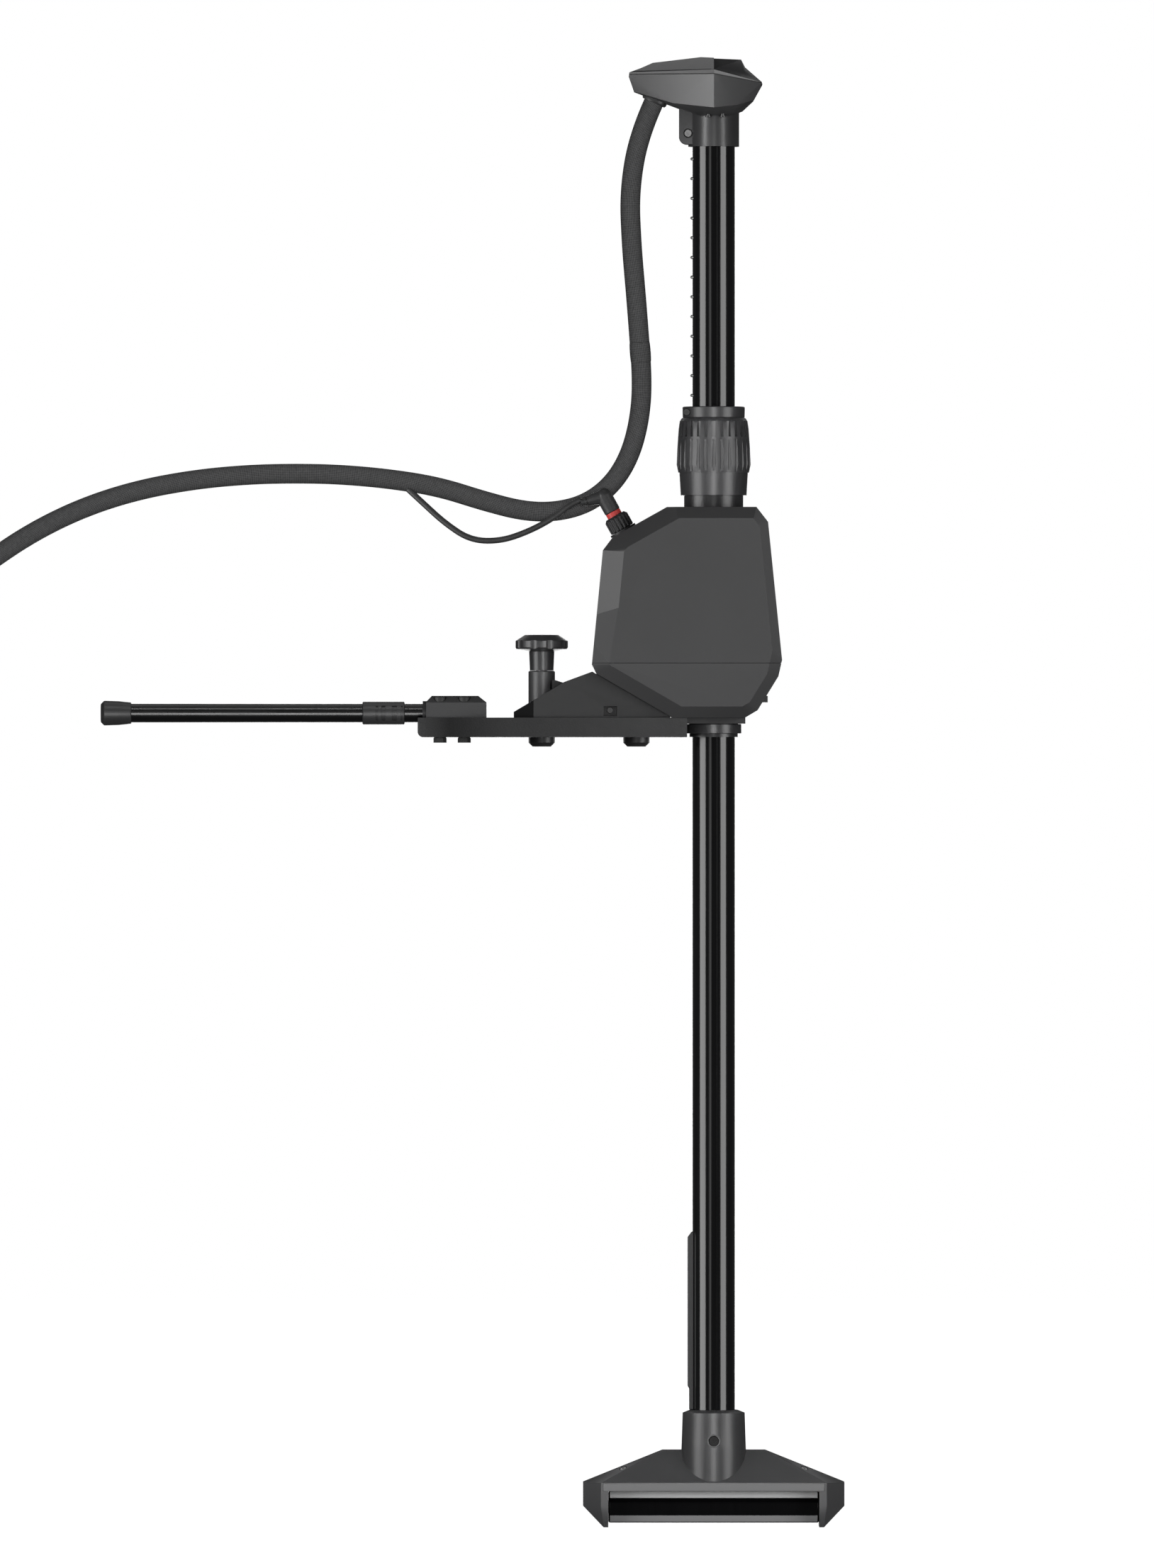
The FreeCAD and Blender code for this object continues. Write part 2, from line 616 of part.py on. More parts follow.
def housing_parts():
    planes = housing_planes({SLANTED_EDGE: size("shelf_y")})
    outer = housing_outer(inside_planes(planes))
    cavity = inside_planes(planes, size("wall"))
    shell = outer.cut(cavity)
    axis = size("axis_x")
    low = size("split_low")
    high = size("split_high")

    base = shell.common(slab(0, low))
    posts = [post(6, x, y, 20, low) for x, y in HOUSING_POSTS]
    posts += [post(5, x, y, 20, size("motor_plate_low")) for x, y in MOTOR_POSTS]
    posts.append(post(30, axis, 0, 15, size("lower_bush_top")))
    base = base.fuse([p.common(outer) for p in posts])
    holes = [post(size("bush_r"), axis, 0, 10, 60)]
    holes += [post(2.2, x, y, 10, low) for x, y in HOUSING_POSTS]
    holes += [post(4.2, x, y, 10, 45) for x, y in HOUSING_POSTS]
    holes += [post(1.8, x, y, 60, 90) for x, y in MOTOR_POSTS]
    keep(feature("base_shell", base.cut(holes).removeSplitter()), "housing_base")

    cover = shell.common(slab(high, BIG))
    posts = [post(6, x, y, high, 80) for x, y in HOUSING_POSTS]
    posts += [Part.makeBox(4, 20, 80 - high, Vector(x - 2, min(y, y + math.copysign(20, y)), high))
              for x, y in HOUSING_POSTS]
    posts.append(post(31, axis, 0, size("upper_bush_low"), 204))
    posts += [Part.makeCylinder(3, 30, Vector(149.8, y, z), Vector(1, 0, 0))
              for y in (-26, 26) for z in (96, 160)]
    cover = cover.fuse([p.common(outer) for p in posts])
    tilt = plug_direction()
    seat = Vector(size("plug_x"), size("plug_y"), size("plug_z"))
    holes = [post(size("bush_r"), axis, 0, 150, size("neck_low")),
             post(size("neck_r + 0.7"), axis, 0, size("neck_low") - 0.1, 220),
             Part.makeCylinder(8.4, 40, seat - tilt * 20, tilt)]
    holes += [post(1.8, x, y, high, 76) for x, y in HOUSING_POSTS]
    keep(feature("cover_shell", cover.cut(holes).removeSplitter()), "housing_cover")

    ringed = inside_planes(planes, 1.1).cut(cavity).common(slab(low, high))
    keep(feature("seal", ringed), "housing_seal")

    long = socket_screw(1.8, 30, 3.8, 3, 1.6)
    short = socket_screw(1.8, 14, 3.4, 3, 1.5)
    top = size("motor_plate_high")
    screws = [moved(long, Vector(x, y, 45), Vector(0, 0, -1)) for x, y in HOUSING_POSTS]
    screws += [moved(short, Vector(x, y, top)) for x, y in MOTOR_POSTS]
    group("housing_screws", screws)


def bush_parts():
    bore = size("sleeve_r + run_fit")
    outer = size("bush_r")
    spans = [(19, size("lower_bush_top")), (size("upper_bush_low"), size("seal_low"))]
    centre = Vector(size("axis_x"), 0, 0)
    bushes = [turned_shape([(bore, low), (outer, low), (outer, high), (bore, high)])
              for low, high in spans]
    group("sleeve_bushes", [moved(bush, centre) for bush in bushes])
    ring("sleeve_seal", "sleeve_r + run_fit", "bush_r", "seal_low", "neck_low - 0.1")


def motor_parts():
    plate = new_body("plate_for_motor")
    plan = [("24", "-34"), ("52", "-34"), ("60", "-52"), ("82", "-52"), ("82", "52"), ("60", "52"),
            ("52", "34"), ("24", "34")]
    pad(plate, outline(plate, "XY_Plane", plan, "motor_plate_low"), "motor_plate_high - motor_plate_low")
    spots = [("motor_x", "0", "8")] + [(str(x), str(y), "2") for x, y in MOTOR_POSTS]
    spots.append(("axis_x - sensor_shift", "sensor_shift", "4"))
    pocket(plate, circles(plate, "XY_Plane", resolved(spots), "motor_plate_low"), "60", both=True)
    keep(plate, "motor_plate")
    bore = "4 + run_fit"
    motor = turned("motor", [(bore, "motor_plate_high"), ("motor_r", "motor_plate_high"),
                             ("motor_r", "104"), ("motor_r - 1.2", "105"), ("motor_r - 1.2", "163"),
                             ("motor_r - 4", "166"), ("7", "166"), ("7", "171"), ("0", "171"),
                             ("0", "92"), (bore, "92")], "motor_x")
    keep(motor, "drive_motor")
    shift = sensor_shift()
    sensor = turned("sensor", [("2.5 + run_fit", "motor_plate_high"), ("9", "motor_plate_high"),
                               ("9", "88"), ("0", "88"), ("0", "86.5"), ("2.5 + run_fit", "86.5")],
                    f"axis_x - {shift}", str(shift))
    keep(sensor, "position_sensor")


def sensor_shift():
    """How far the sensor gear lies from the axis in x and in y."""
    reach = size("gear_module * (gear_teeth + sensor_teeth) / 2")
    return reach * math.cos(math.radians(size("180 - sensor_bearing")))


def resolved(spots):
    """Write the sensor's distance into expressions that name it."""
    return [tuple(text.replace("sensor_shift", f"{sensor_shift():.6f}") for text in spot)
            for spot in spots]


def control_board():
    board = new_body("board")
    plan = [("-34", "86"), ("34", "86"), ("34", "172"), ("-34", "172")]
    pad(board, outline(board, "YZ_Plane", plan, "148"), "1.6")
    for y, z, wide, tall, deep in ((-18, 108, 16, 14, 6), (12, 104, 22, 22, 4), (8, 146, 30, 18, 9)):
        chip = [(str(y - wide / 2), str(z - tall / 2)), (str(y + wide / 2), str(z - tall / 2)),
                (str(y + wide / 2), str(z + tall / 2)), (str(y - wide / 2), str(z + tall / 2))]
        pad(board, outline(board, "YZ_Plane", chip, "148"), str(deep), reverse=True)
    keep(board, "control_board")


# ---- gears ----

def gear_blank(label, teeth, x, y, bore, phase):
    """A spur gear round its own axis: a turned blank with trapezoid gaps cut round it."""
    pitch_r = f"gear_module * {teeth} / 2"
    tip_r = f"{pitch_r} + 0.9 * gear_module"
    root_r = f"{pitch_r} - 1.15 * gear_module"
    low = "gear_low"
    high = "gear_low + gear_width"
    body = new_body(label, x, y, "0", Rotation(Vector(0, 0, 1), phase))
    if bore == "0":
        corners = [("0", low), (tip_r, low), (tip_r, high), ("0", high)]
    else:
        corners = [(bore, low), (tip_r, low), (tip_r, high), (bore, high)]
    revolve(body, corners)
    half_pitch = "gear_module * 1.5708 / 2 + backlash / 2"
    top = f"({half_pitch} + 0.95 * gear_module * 0.38)"
    bottom = f"({half_pitch} - 1.15 * gear_module * 0.36)"
    gap = [(root_r, "-" + bottom), (tip_r + " + 0.08", "-" + top), (tip_r + " + 0.08", top),
           (root_r, bottom)]
    sketch = outline(body, "XY_Plane", gap, "gear_low + gear_width / 2")
    around(body, pocket(body, sketch, "gear_width + 2", both=True), str(teeth))
    return body


def gear_parts():
    teeth = int(size("gear_teeth"))
    pinion = int(size("pinion_teeth"))
    sensor = int(size("sensor_teeth"))
    # a gap of the drive gear faces the pinion, at 180 degrees, and the pinion shows it a tooth
    keep(gear_blank("gear", teeth, "axis_x", "0", "sleeve_r", 180), "drive_gear")
    small = gear_blank("pinion", pinion, "motor_x", "0", "0", 180 / pinion)
    shaft = circles(small, "XY_Plane", [("0", "0", "4")], "gear_low")
    pad(small, shaft, "31")
    keep(small, "motor_pinion")
    bearing = size("sensor_bearing")
    step = 360 / teeth
    # where the drive gear's pitch stands on the line to the sensor, as a part of one tooth
    offset = ((bearing - 180) / step) % 1.0
    phase = bearing - 180 + (offset + 0.5) * 360 / sensor
    shift = sensor_shift()
    wheel = gear_blank("wheel", sensor, f"axis_x - {shift}", str(shift), "0", phase)
    shaft = circles(wheel, "XY_Plane", [("0", "0", "2.5")], "gear_low")
    pad(wheel, shaft, "26")
    keep(wheel, "sensor_gear")


# ---- steering column ----

def column_parts():
    bore = "mast_r + run_fit"
    sleeve = [(bore, "sleeve_low"), ("21.6", "sleeve_low"), ("21.6", "flange_low"),
              ("sleeve_r", "flange_low"), ("sleeve_r", "neck_low"), ("neck_r", "neck_low"),
              ("neck_r", "neck_high"), ("thread_r", "neck_high"), ("thread_r", "sleeve_top"),
              (bore, "sleeve_top")]
    keep(turned("column", sleeve), "steering_sleeve")
    ring("lower_flange", "sleeve_r", "flange_r", "flange_low", "flange_high")
    collet = turned("split_cone", [(bore, "sleeve_top"), ("collet_r_low", "sleeve_top"),
                                   ("collet_r_top", "collet_top"), (bore, "collet_top")])
    slit = [("0", "sleeve_top + 4"), ("40", "sleeve_top + 4"), ("40", "collet_top + 5"),
            ("0", "collet_top + 5")]
    cutter = outline(collet, "XZ_Plane", slit)
    around(collet, pocket(collet, cutter, "collet_slit", both=True), "6")
    keep(collet, "collet")


def collar_nut():
    bore = "thread_r + run_fit"
    nut = turned("nut", [(bore, "nut_low"), ("29.5", "nut_low"), ("30.7", "nut_skirt"),
                         ("31.6", "nut_skirt"), ("nut_r", "244"), ("32.6", "258"), ("31.4", "276"),
                         ("30.4", "283"), ("28.6", "nut_high"), ("mast_r + 0.4", "nut_high"),
                         ("mast_r + 0.4", "283"), ("collet_r_top + 0.3", "282"),
                         ("collet_r_low + 0.4", "262.3"), (bore, "262.3")])
    groove = circles(nut, "XY_Plane", [("nut_r + 0.5", "0", "rib_groove")], "nut_skirt + 0.6")
    around(nut, pocket(nut, groove, "32", reverse=True), "nut_ribs")
    slot = outline(nut, "XY_Plane", [("29.3", "-1.5"), ("36", "-1.5"), ("36", "1.5"), ("29.3", "1.5")],
                   "269")
    around(nut, pocket(nut, slot, "14", reverse=True), "nut_ribs")
    keep(nut, "collar_nut")


def depth_ring():
    ring_body = turned("stop", [("mast_r + run_fit", "ring_low"), ("ring_r - 0.6", "ring_low"),
                                ("ring_r - 0.2", "ring_low + 0.6"), ("ring_r", "ring_high - 0.8"),
                                ("ring_r - 0.8", "ring_high"), ("mast_r + run_fit", "ring_high")])
    slit = box("40", "ring_slit", "30", "axis_x - 40", "-ring_slit / 2", "ring_low - 5")
    bore = cylinder("2.1", "40", "axis_x + ring_screw_x", "-20", "ring_screw_z", "Y")
    head = cylinder("3.2", "20", "axis_x + ring_screw_x", "-30", "ring_screw_z", "Y")
    nut = cylinder("3.2", "20", "axis_x + ring_screw_x", "10", "ring_screw_z", "Y")
    keep(cut(ring_body, [slit, bore, head, nut]), "depth_ring")
    screw = socket_screw(2, 19.5, 3.1, 3, 1.4)
    spot = Vector(size("axis_x + ring_screw_x"), -10, size("ring_screw_z"))
    keep(feature("pinch_screw", moved(screw, spot, Vector(0, -1, 0))), "depth_ring_screw")


# ---- mast ----

def mast_parts():
    tube_body = turned("tube", [("mast_r - mast_wall", "mast_foot"), ("mast_r", "mast_foot"),
                                ("mast_r", "mast_top"), ("mast_r - mast_wall", "mast_top")])
    holes = [cylinder("1.2", "12", "axis_x - mast_r - 2", "0", f"stud_top - {i} * stud_pitch", "X")
             for i in range(int(size("stud_count")))]
    holes.append(cylinder("2.5", "60", "axis_x", "-30", "bar_screw_z", "Y"))
    keep(cut(tube_body, holes), "mast_tube")
    head = size("stud_r")
    stud = turned_shape([(0, -3), (1.2, -3), (1.2, 0.12), (head, 0.12), (head * 0.75, 1.4), (0, 2)])
    x = size("axis_x - mast_r")
    studs = [moved(stud, Vector(x, 0, size(f"stud_top - {i} * stud_pitch")), Vector(-1, 0, 0))
             for i in range(int(size("stud_count")))]
    group("index_studs", studs)
    keep(cylinder("cable_r", "mast_top - mast_foot - 26", "axis_x", "0", "mast_foot + 16"), "mast_cable")


def cable_guard():
    body = new_body("guard", "axis_x")
    outer = [("-mast_r - guard_thin", "guard_foot"), ("-mast_r - guard_thin", "guard_step"),
             ("-mast_r - guard_proud", "guard_step + 2"), ("-mast_r - guard_proud", "guard_top - 5"),
             ("-mast_r - 0.6", "guard_top"), ("-mast_r + 2", "guard_top"), ("-mast_r + 2", "guard_foot")]
    pad(body, outline(body, "XZ_Plane", outer), "guard_width", both=True)
    bore = circles(body, "XY_Plane", [("0", "0", "mast_r")], "-700")
    pocket(body, bore, "400", reverse=True)
    keep(body, "cable_guard")


# ---- sensor head ----

HEAD_BODY = [(-75.6, 13, 595.2), (0, 46, 596.8), (43.2, 19, 586.2), (28.1, 11, 599.7),
             (-54.5, 5, 603.2), (0, 16, 604), (-76, 12.5, 592), (43.6, 18, 584.4),
             (-71.2, 11.6, 578), (-36, 26, 567.2), (0, 40, 563), (20.6, 29.2, 565.6),
             (35.6, 20, 570), (-62, 7, 574.5), (-12, 24, 556.2), (14, 22, 556.2), (26, 10, 560.8)]
HEAD_CROWN = [(-54.5, 5, 602.8), (0, 44.6, 597), (28, 24, 591.2), (28.1, 11, 599.7),
              (-14, 9, 608.1), (0, 11, 607.7), (24.6, 9, 606.7), (0, 10, 590)]
# the steep wedge on the crown's left half, which ends in a step over the front ridge
HEAD_CREST = [(-72, 12, 596), (0, 45, 596.6), (0, 41.5, 607.4), (-11.6, 35.8, 608.1),
              (-54.5, 17.5, 603.6), (-60, 5, 590), (0, 10, 590)]
HEAD_SPLIT = [(-90, 593.2), (0, 592.7), (60, 582.4)]


def head_side(above, gap):
    """A wide block above or below the head's bent parting line, seen along y."""
    axis = size("axis_x")
    line = [Vector(axis + x, -BIG, z + gap) for x, z in HEAD_SPLIT]
    far = 700 if above else 400
    corners = line + [Vector(line[-1].x, -BIG, far), Vector(line[0].x, -BIG, far)]
    return Part.Face(Part.makePolygon(corners + corners[:1])).extrude(Vector(0, 2 * BIG, 0))


def about_axis(points):
    axis = size("axis_x")
    return mirrored_in_y([(axis + x, y, z) for x, y, z in points])


def head_parts():
    axis = size("axis_x")
    wall = size("head_wall")
    planes = hull_planes(about_axis(HEAD_BODY))
    gap = size("head_gap")
    body = inside_planes(planes)
    crown = inside_planes(hull_planes(about_axis(HEAD_CROWN)))
    crest = inside_planes(hull_planes(about_axis(HEAD_CREST)))
    cavity = inside_planes(planes, wall)
    below = head_side(False, 0)
    above = head_side(True, gap)

    upper = body.fuse([crown, crest]).cut(cavity).common(above)
    keep(feature("upper", upper.removeSplitter()), "head_upper_shell")

    low = size("clamp_low")
    collar = post(size("clamp_r"), axis, 0, low, 583)
    ear = Part.makeBox(22, 25, 34, Vector(axis - 31, -12.5, low + 2))
    ear = ear.makeFillet(7, [e for e in ear.Edges
                             if e.BoundBox.XMax < axis - 30.9 and e.BoundBox.ZMax < low + 2.1])
    lower = body.cut(cavity).common(below).fuse([collar, ear])
    x = axis + size("clamp_screw_x")
    z = size("clamp_screw_z")
    gland_base, gland_axis = gland_frame()
    y_axis = Vector(0, 1, 0)
    holes = [post(size("mast_r"), axis, 0, low - 5, size("mast_top")),
             Part.makeBox(40, 2, 60, Vector(axis - 40, -1, low - 1)),
             Part.makeCylinder(2.1, 60, Vector(x, -30, z), y_axis),
             Part.makeCylinder(4.3, 30, Vector(x, -38, z), y_axis),
             Part.makeCylinder(4.3, 30, Vector(x, 8, z), y_axis),
             Part.makeCylinder(11.5, 60, gland_base - gland_axis * 30, gland_axis)]
    holes += [post(1.6, axis + px, py, 540, 572) for px, py in HEAD_SCREWS]
    lower = lower.cut(holes)
    solids = sorted(lower.Solids, key=lambda s: s.Volume)
    keep(feature("lower", solids[-1].removeSplitter()), "head_lower_shell")

    seal = inside_planes(planes, 1.2).cut(cavity).common(head_side(True, 0)).cut(above)
    keep(feature("seal_strip", seal), "head_seal")

    screw = socket_screw(1.6, 9, 2.6, 1.2, 1.1)
    down = Vector(0, 0, -1)
    group("head_screws", [moved(screw, Vector(axis + px, py, 556), down) for px, py in HEAD_SCREWS])

    pinch = socket_screw(2, 19.4, 3.4, 3.4, 1.5)
    spot = Vector(x, -8, z)
    nut = hex_nut(7, 3, 2)
    group("head_clamp_screw", [moved(pinch, spot, Vector(0, -1, 0)),
                               moved(nut, Vector(x, 8, z), y_axis)])


HEAD_SCREWS = [(-5, -25.2), (-5, 25.2), (8, -25.2), (8, 25.2)]


def gland_frame():
    """Where the hose leaves the head, and the direction it leaves in."""
    route = hose_upper_route()
    start = Vector(*route[0])
    return start, (Vector(*route[1]) - start).normalize()


def head_inside():
    start, direction = gland_frame()
    gland = turned_shape([(size("hose_r"), -13), (14.5, -13), (14.5, -9.5), (11.5, -9.5), (11.5, 1.5),
                          (10.6, 3), (size("hose_r"), 3)])
    keep(feature("gland", moved(gland, start, direction)), "hose_gland")
    board = new_body("compass", "axis_x")
    plan = [("-18", "-26"), ("24", "-15"), ("24", "15"), ("-18", "26")]
    pad(board, outline(board, "XY_Plane", plan, "588.2"), "1.6")
    chip = [("-8", "-7"), ("8", "-7"), ("8", "7"), ("-8", "7")]
    pad(board, outline(board, "XY_Plane", chip, "589.8"), "2.4")
    keep(board, "heading_board")


# ---- transducer bar ----

BAR_ROOF = [(46, 1, -638), (101, 30, -667), (117, 14, -667), (101, 30, -688), (117, 14, -688),
            (98.6, 24, -707), (98.6, 8, -707)]


def bar_parts():
    axis = size("axis_x")
    both = BAR_ROOF + [(-x, y, z) for x, y, z in BAR_ROOF]
    roof = inside_planes(hull_planes(about_axis(both)))
    top = size("collar_top")
    r = size("collar_r")
    collar = turned_shape([(0, top), (21.4, top), (r - 1.1, top - 2.5), (r, -638), (r, -667), (0, -667)])
    collar.translate(Vector(axis, 0, 0))
    bar = roof.fuse(collar)
    half = size("window_half")
    y_axis = Vector(0, 1, 0)
    screw_z = size("bar_screw_z")
    holes = [post(size("mast_r"), axis, 0, size("mast_foot"), -590),
             Part.makeBox(2 * half + 0.2, 120, 60, Vector(axis - half - 0.1, -60, -734.8)),
             Part.makeCylinder(6, 2 * half + 8, Vector(axis - half - 4, 0, size("bar_z")), Vector(1, 0, 0)),
             Part.makeBox(164, 40, 14, Vector(axis - 82, -20, -671.5)),
             Part.makeCylinder(cable_hole(), 60, Vector(axis, 0, -672)),
             Part.makeCylinder(cable_hole(), 10, Vector(axis, 0, -680)),
             Part.makeCylinder(2.5, 80, Vector(axis, -40, screw_z), y_axis),
             Part.makeCylinder(6, 20, Vector(axis, -44, screw_z), y_axis),
             Part.makeCylinder(6, 20, Vector(axis, 24, screw_z), y_axis)]
    for spot, outward in lid_screw_places():
        holes.append(Part.makeCylinder(3.6, 20, spot, outward))
        holes.append(Part.makeCylinder(1.6, 12, spot - outward * 11, outward))
    keep(feature("bar", bar.cut(holes).removeSplitter()), "bar_housing")
    ringed = turned_shape([(10.4, -half), (size("window_r") - 1, -half), (size("window_r"), 1 - half),
                           (size("window_r"), half - 1), (size("window_r") - 1, half), (10.4, half)])
    centre = Vector(axis, 0, size("bar_z"))
    keep(feature("window", moved(ringed, centre, Vector(1, 0, 0))), "array_window")
    core = turned_shape([(0, -half - 3.8), (6, -half - 3.8), (6, -half), (10.4, -half), (10.4, half),
                         (6, half), (6, half + 3.8), (0, half + 3.8)])
    keep(feature("core", moved(core, centre, Vector(1, 0, 0))), "array_core")
    keep(box("150", "34", "11", "axis_x - 75", "-17", "-670.5"), "sonar_module")
    clamp = socket_screw(2.5, 10.5, 4.6, 3.4, 2.3)
    lid = socket_screw(1.6, 10, 3, 2.2, 1.3)
    screws = [moved(clamp, Vector(axis, s * 24, screw_z), Vector(0, s, 0)) for s in (-1, 1)]
    screws += [moved(lid, spot, outward) for spot, outward in lid_screw_places()]
    group("bar_screws", screws)


def cable_hole():
    return size("cable_r + 0.8")


def lid_screw_places():
    """Seats sunk in the four corner facets of the roof, with the way each facet looks."""
    places = []
    axis = size("axis_x")
    for sx in (-1, 1):
        for sy in (-1, 1):
            ridge = Vector(axis + sx * 46, sy * 1, -638)
            front = Vector(axis + sx * 101, sy * 30, -667)
            end = Vector(axis + sx * 117, sy * 14, -667)
            outward = (front - ridge).cross(end - ridge).normalize()
            if outward.z < 0:
                outward = -outward
            middle = ridge + ((front + end) * 0.5 - ridge) * 0.56
            places.append((middle - outward * 2.6, outward))
    return places


# ---- plug, lead and hose ----

def plug_direction():
    tilt = math.radians(size("plug_tilt"))
    return Vector(math.sin(tilt), 0, math.cos(tilt))


def plug_parts():
    tilt = plug_direction()
    seat = Vector(size("plug_x"), size("plug_y"), size("plug_z"))
    turn = Rotation(Vector(0, 0, 1), tilt)
    spot = {"x": "plug_x", "y": "plug_y", "z": "plug_z", "turn": turn}
    socket = turned("socket", [("0", "-16"), ("8.4", "-16"), ("8.4", "0.2"), ("12.4", "0.2"),
                               ("12.4", "2"), ("8", "2"), ("8", "13"), ("0", "13")], **spot)
    keep(socket, "panel_socket")
    high = "plug_nut_high"
    bore = "8 + run_fit"
    nut = turned("plug_nut_body", [(bore, "plug_nut_low"), ("plug_nut_r - 0.8", "plug_nut_low"),
                                   ("plug_nut_r", "plug_nut_low + 0.8"), ("plug_nut_r", high + " - 2.5"),
                                   ("plug_nut_r - 2.2", high), ("plug_ring_r + run_fit", high),
                                   ("plug_ring_r + run_fit", "14"), (bore, "14")], **spot)
    flute = circles(nut, "XY_Plane", [("plug_nut_r + 0.9", "0", "1.6")], "plug_nut_low - 1")
    around(nut, pocket(nut, flute, "20", reverse=True), "18")
    keep(nut, "plug_nut")
    red = turned("red", [("0", "13.2"), ("plug_ring_r", "13.2"), ("plug_ring_r", "plug_ring_high"),
                         ("0", "plug_ring_high")], **spot)
    keep(red, "plug_ring")
    low = size("plug_ring_high")
    radius = size("elbow_r")
    corner_high = size("elbow_corner")
    stem = turned_shape([(0, low), (radius - 0.6, low), (radius, low + 0.8), (radius, corner_high),
                         (0, corner_high)])
    stem.Placement = Placement(seat, turn)
    corner, left = elbow_frame()
    knee = Part.makeSphere(radius, corner)
    long = size("elbow_arm")
    arm = moved(turned_shape([(0, 0), (radius - 0.3, 0), (4.6, long), (0, long)]), corner, left)
    keep(feature("elbow", stem.fuse([knee, arm]).removeSplitter()), "plug_elbow")
    relief = relief_shape(size("relief_long"))
    keep(feature("relief", moved(relief, corner + left * long, left)), "lead_relief")


def elbow_frame():
    """The elbow's corner and the direction its arm points in."""
    seat = Vector(size("plug_x"), size("plug_y"), size("plug_z"))
    corner = seat + plug_direction() * size("elbow_corner")
    end = Vector(size("elbow_end_x"), size("plug_y"), size("elbow_end_z"))
    return corner, (end - corner).normalize()


def relief_shape(length):
    """A short tapered boot with two raised bands."""
    return turned_shape([(0, 0), (4.6, 0), (4.6, 1.5), (3.9, 1.8), (3.9, 3), (4.4, 3.2), (4.4, 4.6),
                         (3.6, 4.9), (size("lead_r") + 0.5, length), (0, length)])


def coil_start_height():
    return size("hose_r + coil_turns * coil_pitch")


def hose_parts():
    hose = size("hose_r")
    upper = hose_upper_route()
    lower = hose_lower_route()
    tube("hose_upper", upper, hose)
    tube("hose_lower", lower, hose)
    tube("plug_lead", lead_route(), size("lead_r"))
    top = Vector(*upper[-1])
    along = (Vector(*upper[-2]) - top).normalize()
    band = turned_shape([(hose + 0.3, -9), (hose + 1, -8), (hose + 1, 8), (hose + 0.3, 9)])
    keep(feature("band", moved(band, top, along)), "hose_band")

    coil_r = size("coil_r")
    centre = Vector(size("coil_x"), size("coil_y"), 0)
    tall = coil_start_height() + hose
    coil = turned_shape([(coil_r - hose, 0), (coil_r + hose, 0), (coil_r + hose, tall),
                         (coil_r - hose, tall)])
    coil.translate(centre)
    leave = Vector(centre.x + coil_r, centre.y, hose + 0.4)
    away = Vector(0, -1, 0)
    tail = moved(Part.makeCylinder(hose, 62), leave, away)
    keep(feature("coil", coil.fuse(tail).removeSplitter()), "hose_coil")
    boot = turned_shape([(0, 62), (10.4, 62), (10.4, 68), (9.4, 72), (8.6, 96), (0, 96)])
    keep(feature("boot", moved(boot, Vector(leave.x, leave.y, 10.5), away)), "hose_boot")
    plug = turned_shape([(0, 96), (11.5, 96), (12.5, 99), (12.5, 112), (11, 114), (11, 118), (12.8, 119),
                         (12.8, 134), (10.6, 136), (0, 136)])
    keep(feature("far_plug", moved(plug, Vector(leave.x, leave.y, 12.9), away)), "hose_plug")


def build():
    base_plate()
    handle_parts()
    rod_parts()
    wedge_bracket()
    lock_parts()
    housing_parts()
    bush_parts()
    motor_parts()
    control_board()
    gear_parts()
    column_parts()
    collar_nut()
    depth_ring()
    mast_parts()
    cable_guard()
    head_parts()
    head_inside()
    bar_parts()
    plug_parts()
    hose_parts()


def check():
    """Stop unless every object recomputed and every sub-part is a valid shape."""
    doc.recompute()
    for thing in doc.Objects:
        if "Invalid" in thing.State or "Error" in thing.State:
            raise RuntimeError(f"{thing.Name} ({thing.Label}) failed: {thing.State}")
    for thing in finished:
        if thing.Shape.isNull() or not thing.Shape.isValid() or not thing.Shape.Solids:
            raise RuntimeError(f"{thing.Label} has no valid solid")


build()
check()
os.makedirs("parts", exist_ok=True)
for item in finished:
    item.Shape.exportStep(f"parts/{item.Label}.step")
print(f"{len(finished)} sub-parts written")
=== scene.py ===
import json
import math

import bmesh
import bpy
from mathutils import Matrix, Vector


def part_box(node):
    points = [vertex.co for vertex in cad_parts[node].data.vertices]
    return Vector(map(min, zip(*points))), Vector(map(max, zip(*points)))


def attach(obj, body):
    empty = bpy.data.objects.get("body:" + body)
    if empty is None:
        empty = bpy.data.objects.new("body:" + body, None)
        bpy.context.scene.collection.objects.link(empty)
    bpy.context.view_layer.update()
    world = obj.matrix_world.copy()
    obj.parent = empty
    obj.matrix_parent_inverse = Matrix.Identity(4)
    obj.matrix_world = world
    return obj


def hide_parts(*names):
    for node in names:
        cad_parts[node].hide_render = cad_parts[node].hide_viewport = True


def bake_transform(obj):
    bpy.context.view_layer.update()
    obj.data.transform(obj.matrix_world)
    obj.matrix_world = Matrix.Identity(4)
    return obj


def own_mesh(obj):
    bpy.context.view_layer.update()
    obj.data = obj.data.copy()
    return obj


# The looks of a motorised steering pole: materials, softened edges, braided hose, plug lead
# and the studio round it. Metres, +Z up. Everything that moves is placed by the CAD frame.

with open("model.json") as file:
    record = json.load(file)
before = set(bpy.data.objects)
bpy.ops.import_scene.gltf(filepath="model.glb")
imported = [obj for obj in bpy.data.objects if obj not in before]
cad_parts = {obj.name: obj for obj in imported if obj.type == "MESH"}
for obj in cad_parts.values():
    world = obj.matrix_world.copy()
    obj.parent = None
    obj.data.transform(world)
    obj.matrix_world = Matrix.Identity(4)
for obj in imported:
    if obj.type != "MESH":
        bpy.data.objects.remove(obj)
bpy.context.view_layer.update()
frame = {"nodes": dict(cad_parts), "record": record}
NODES = frame["nodes"]

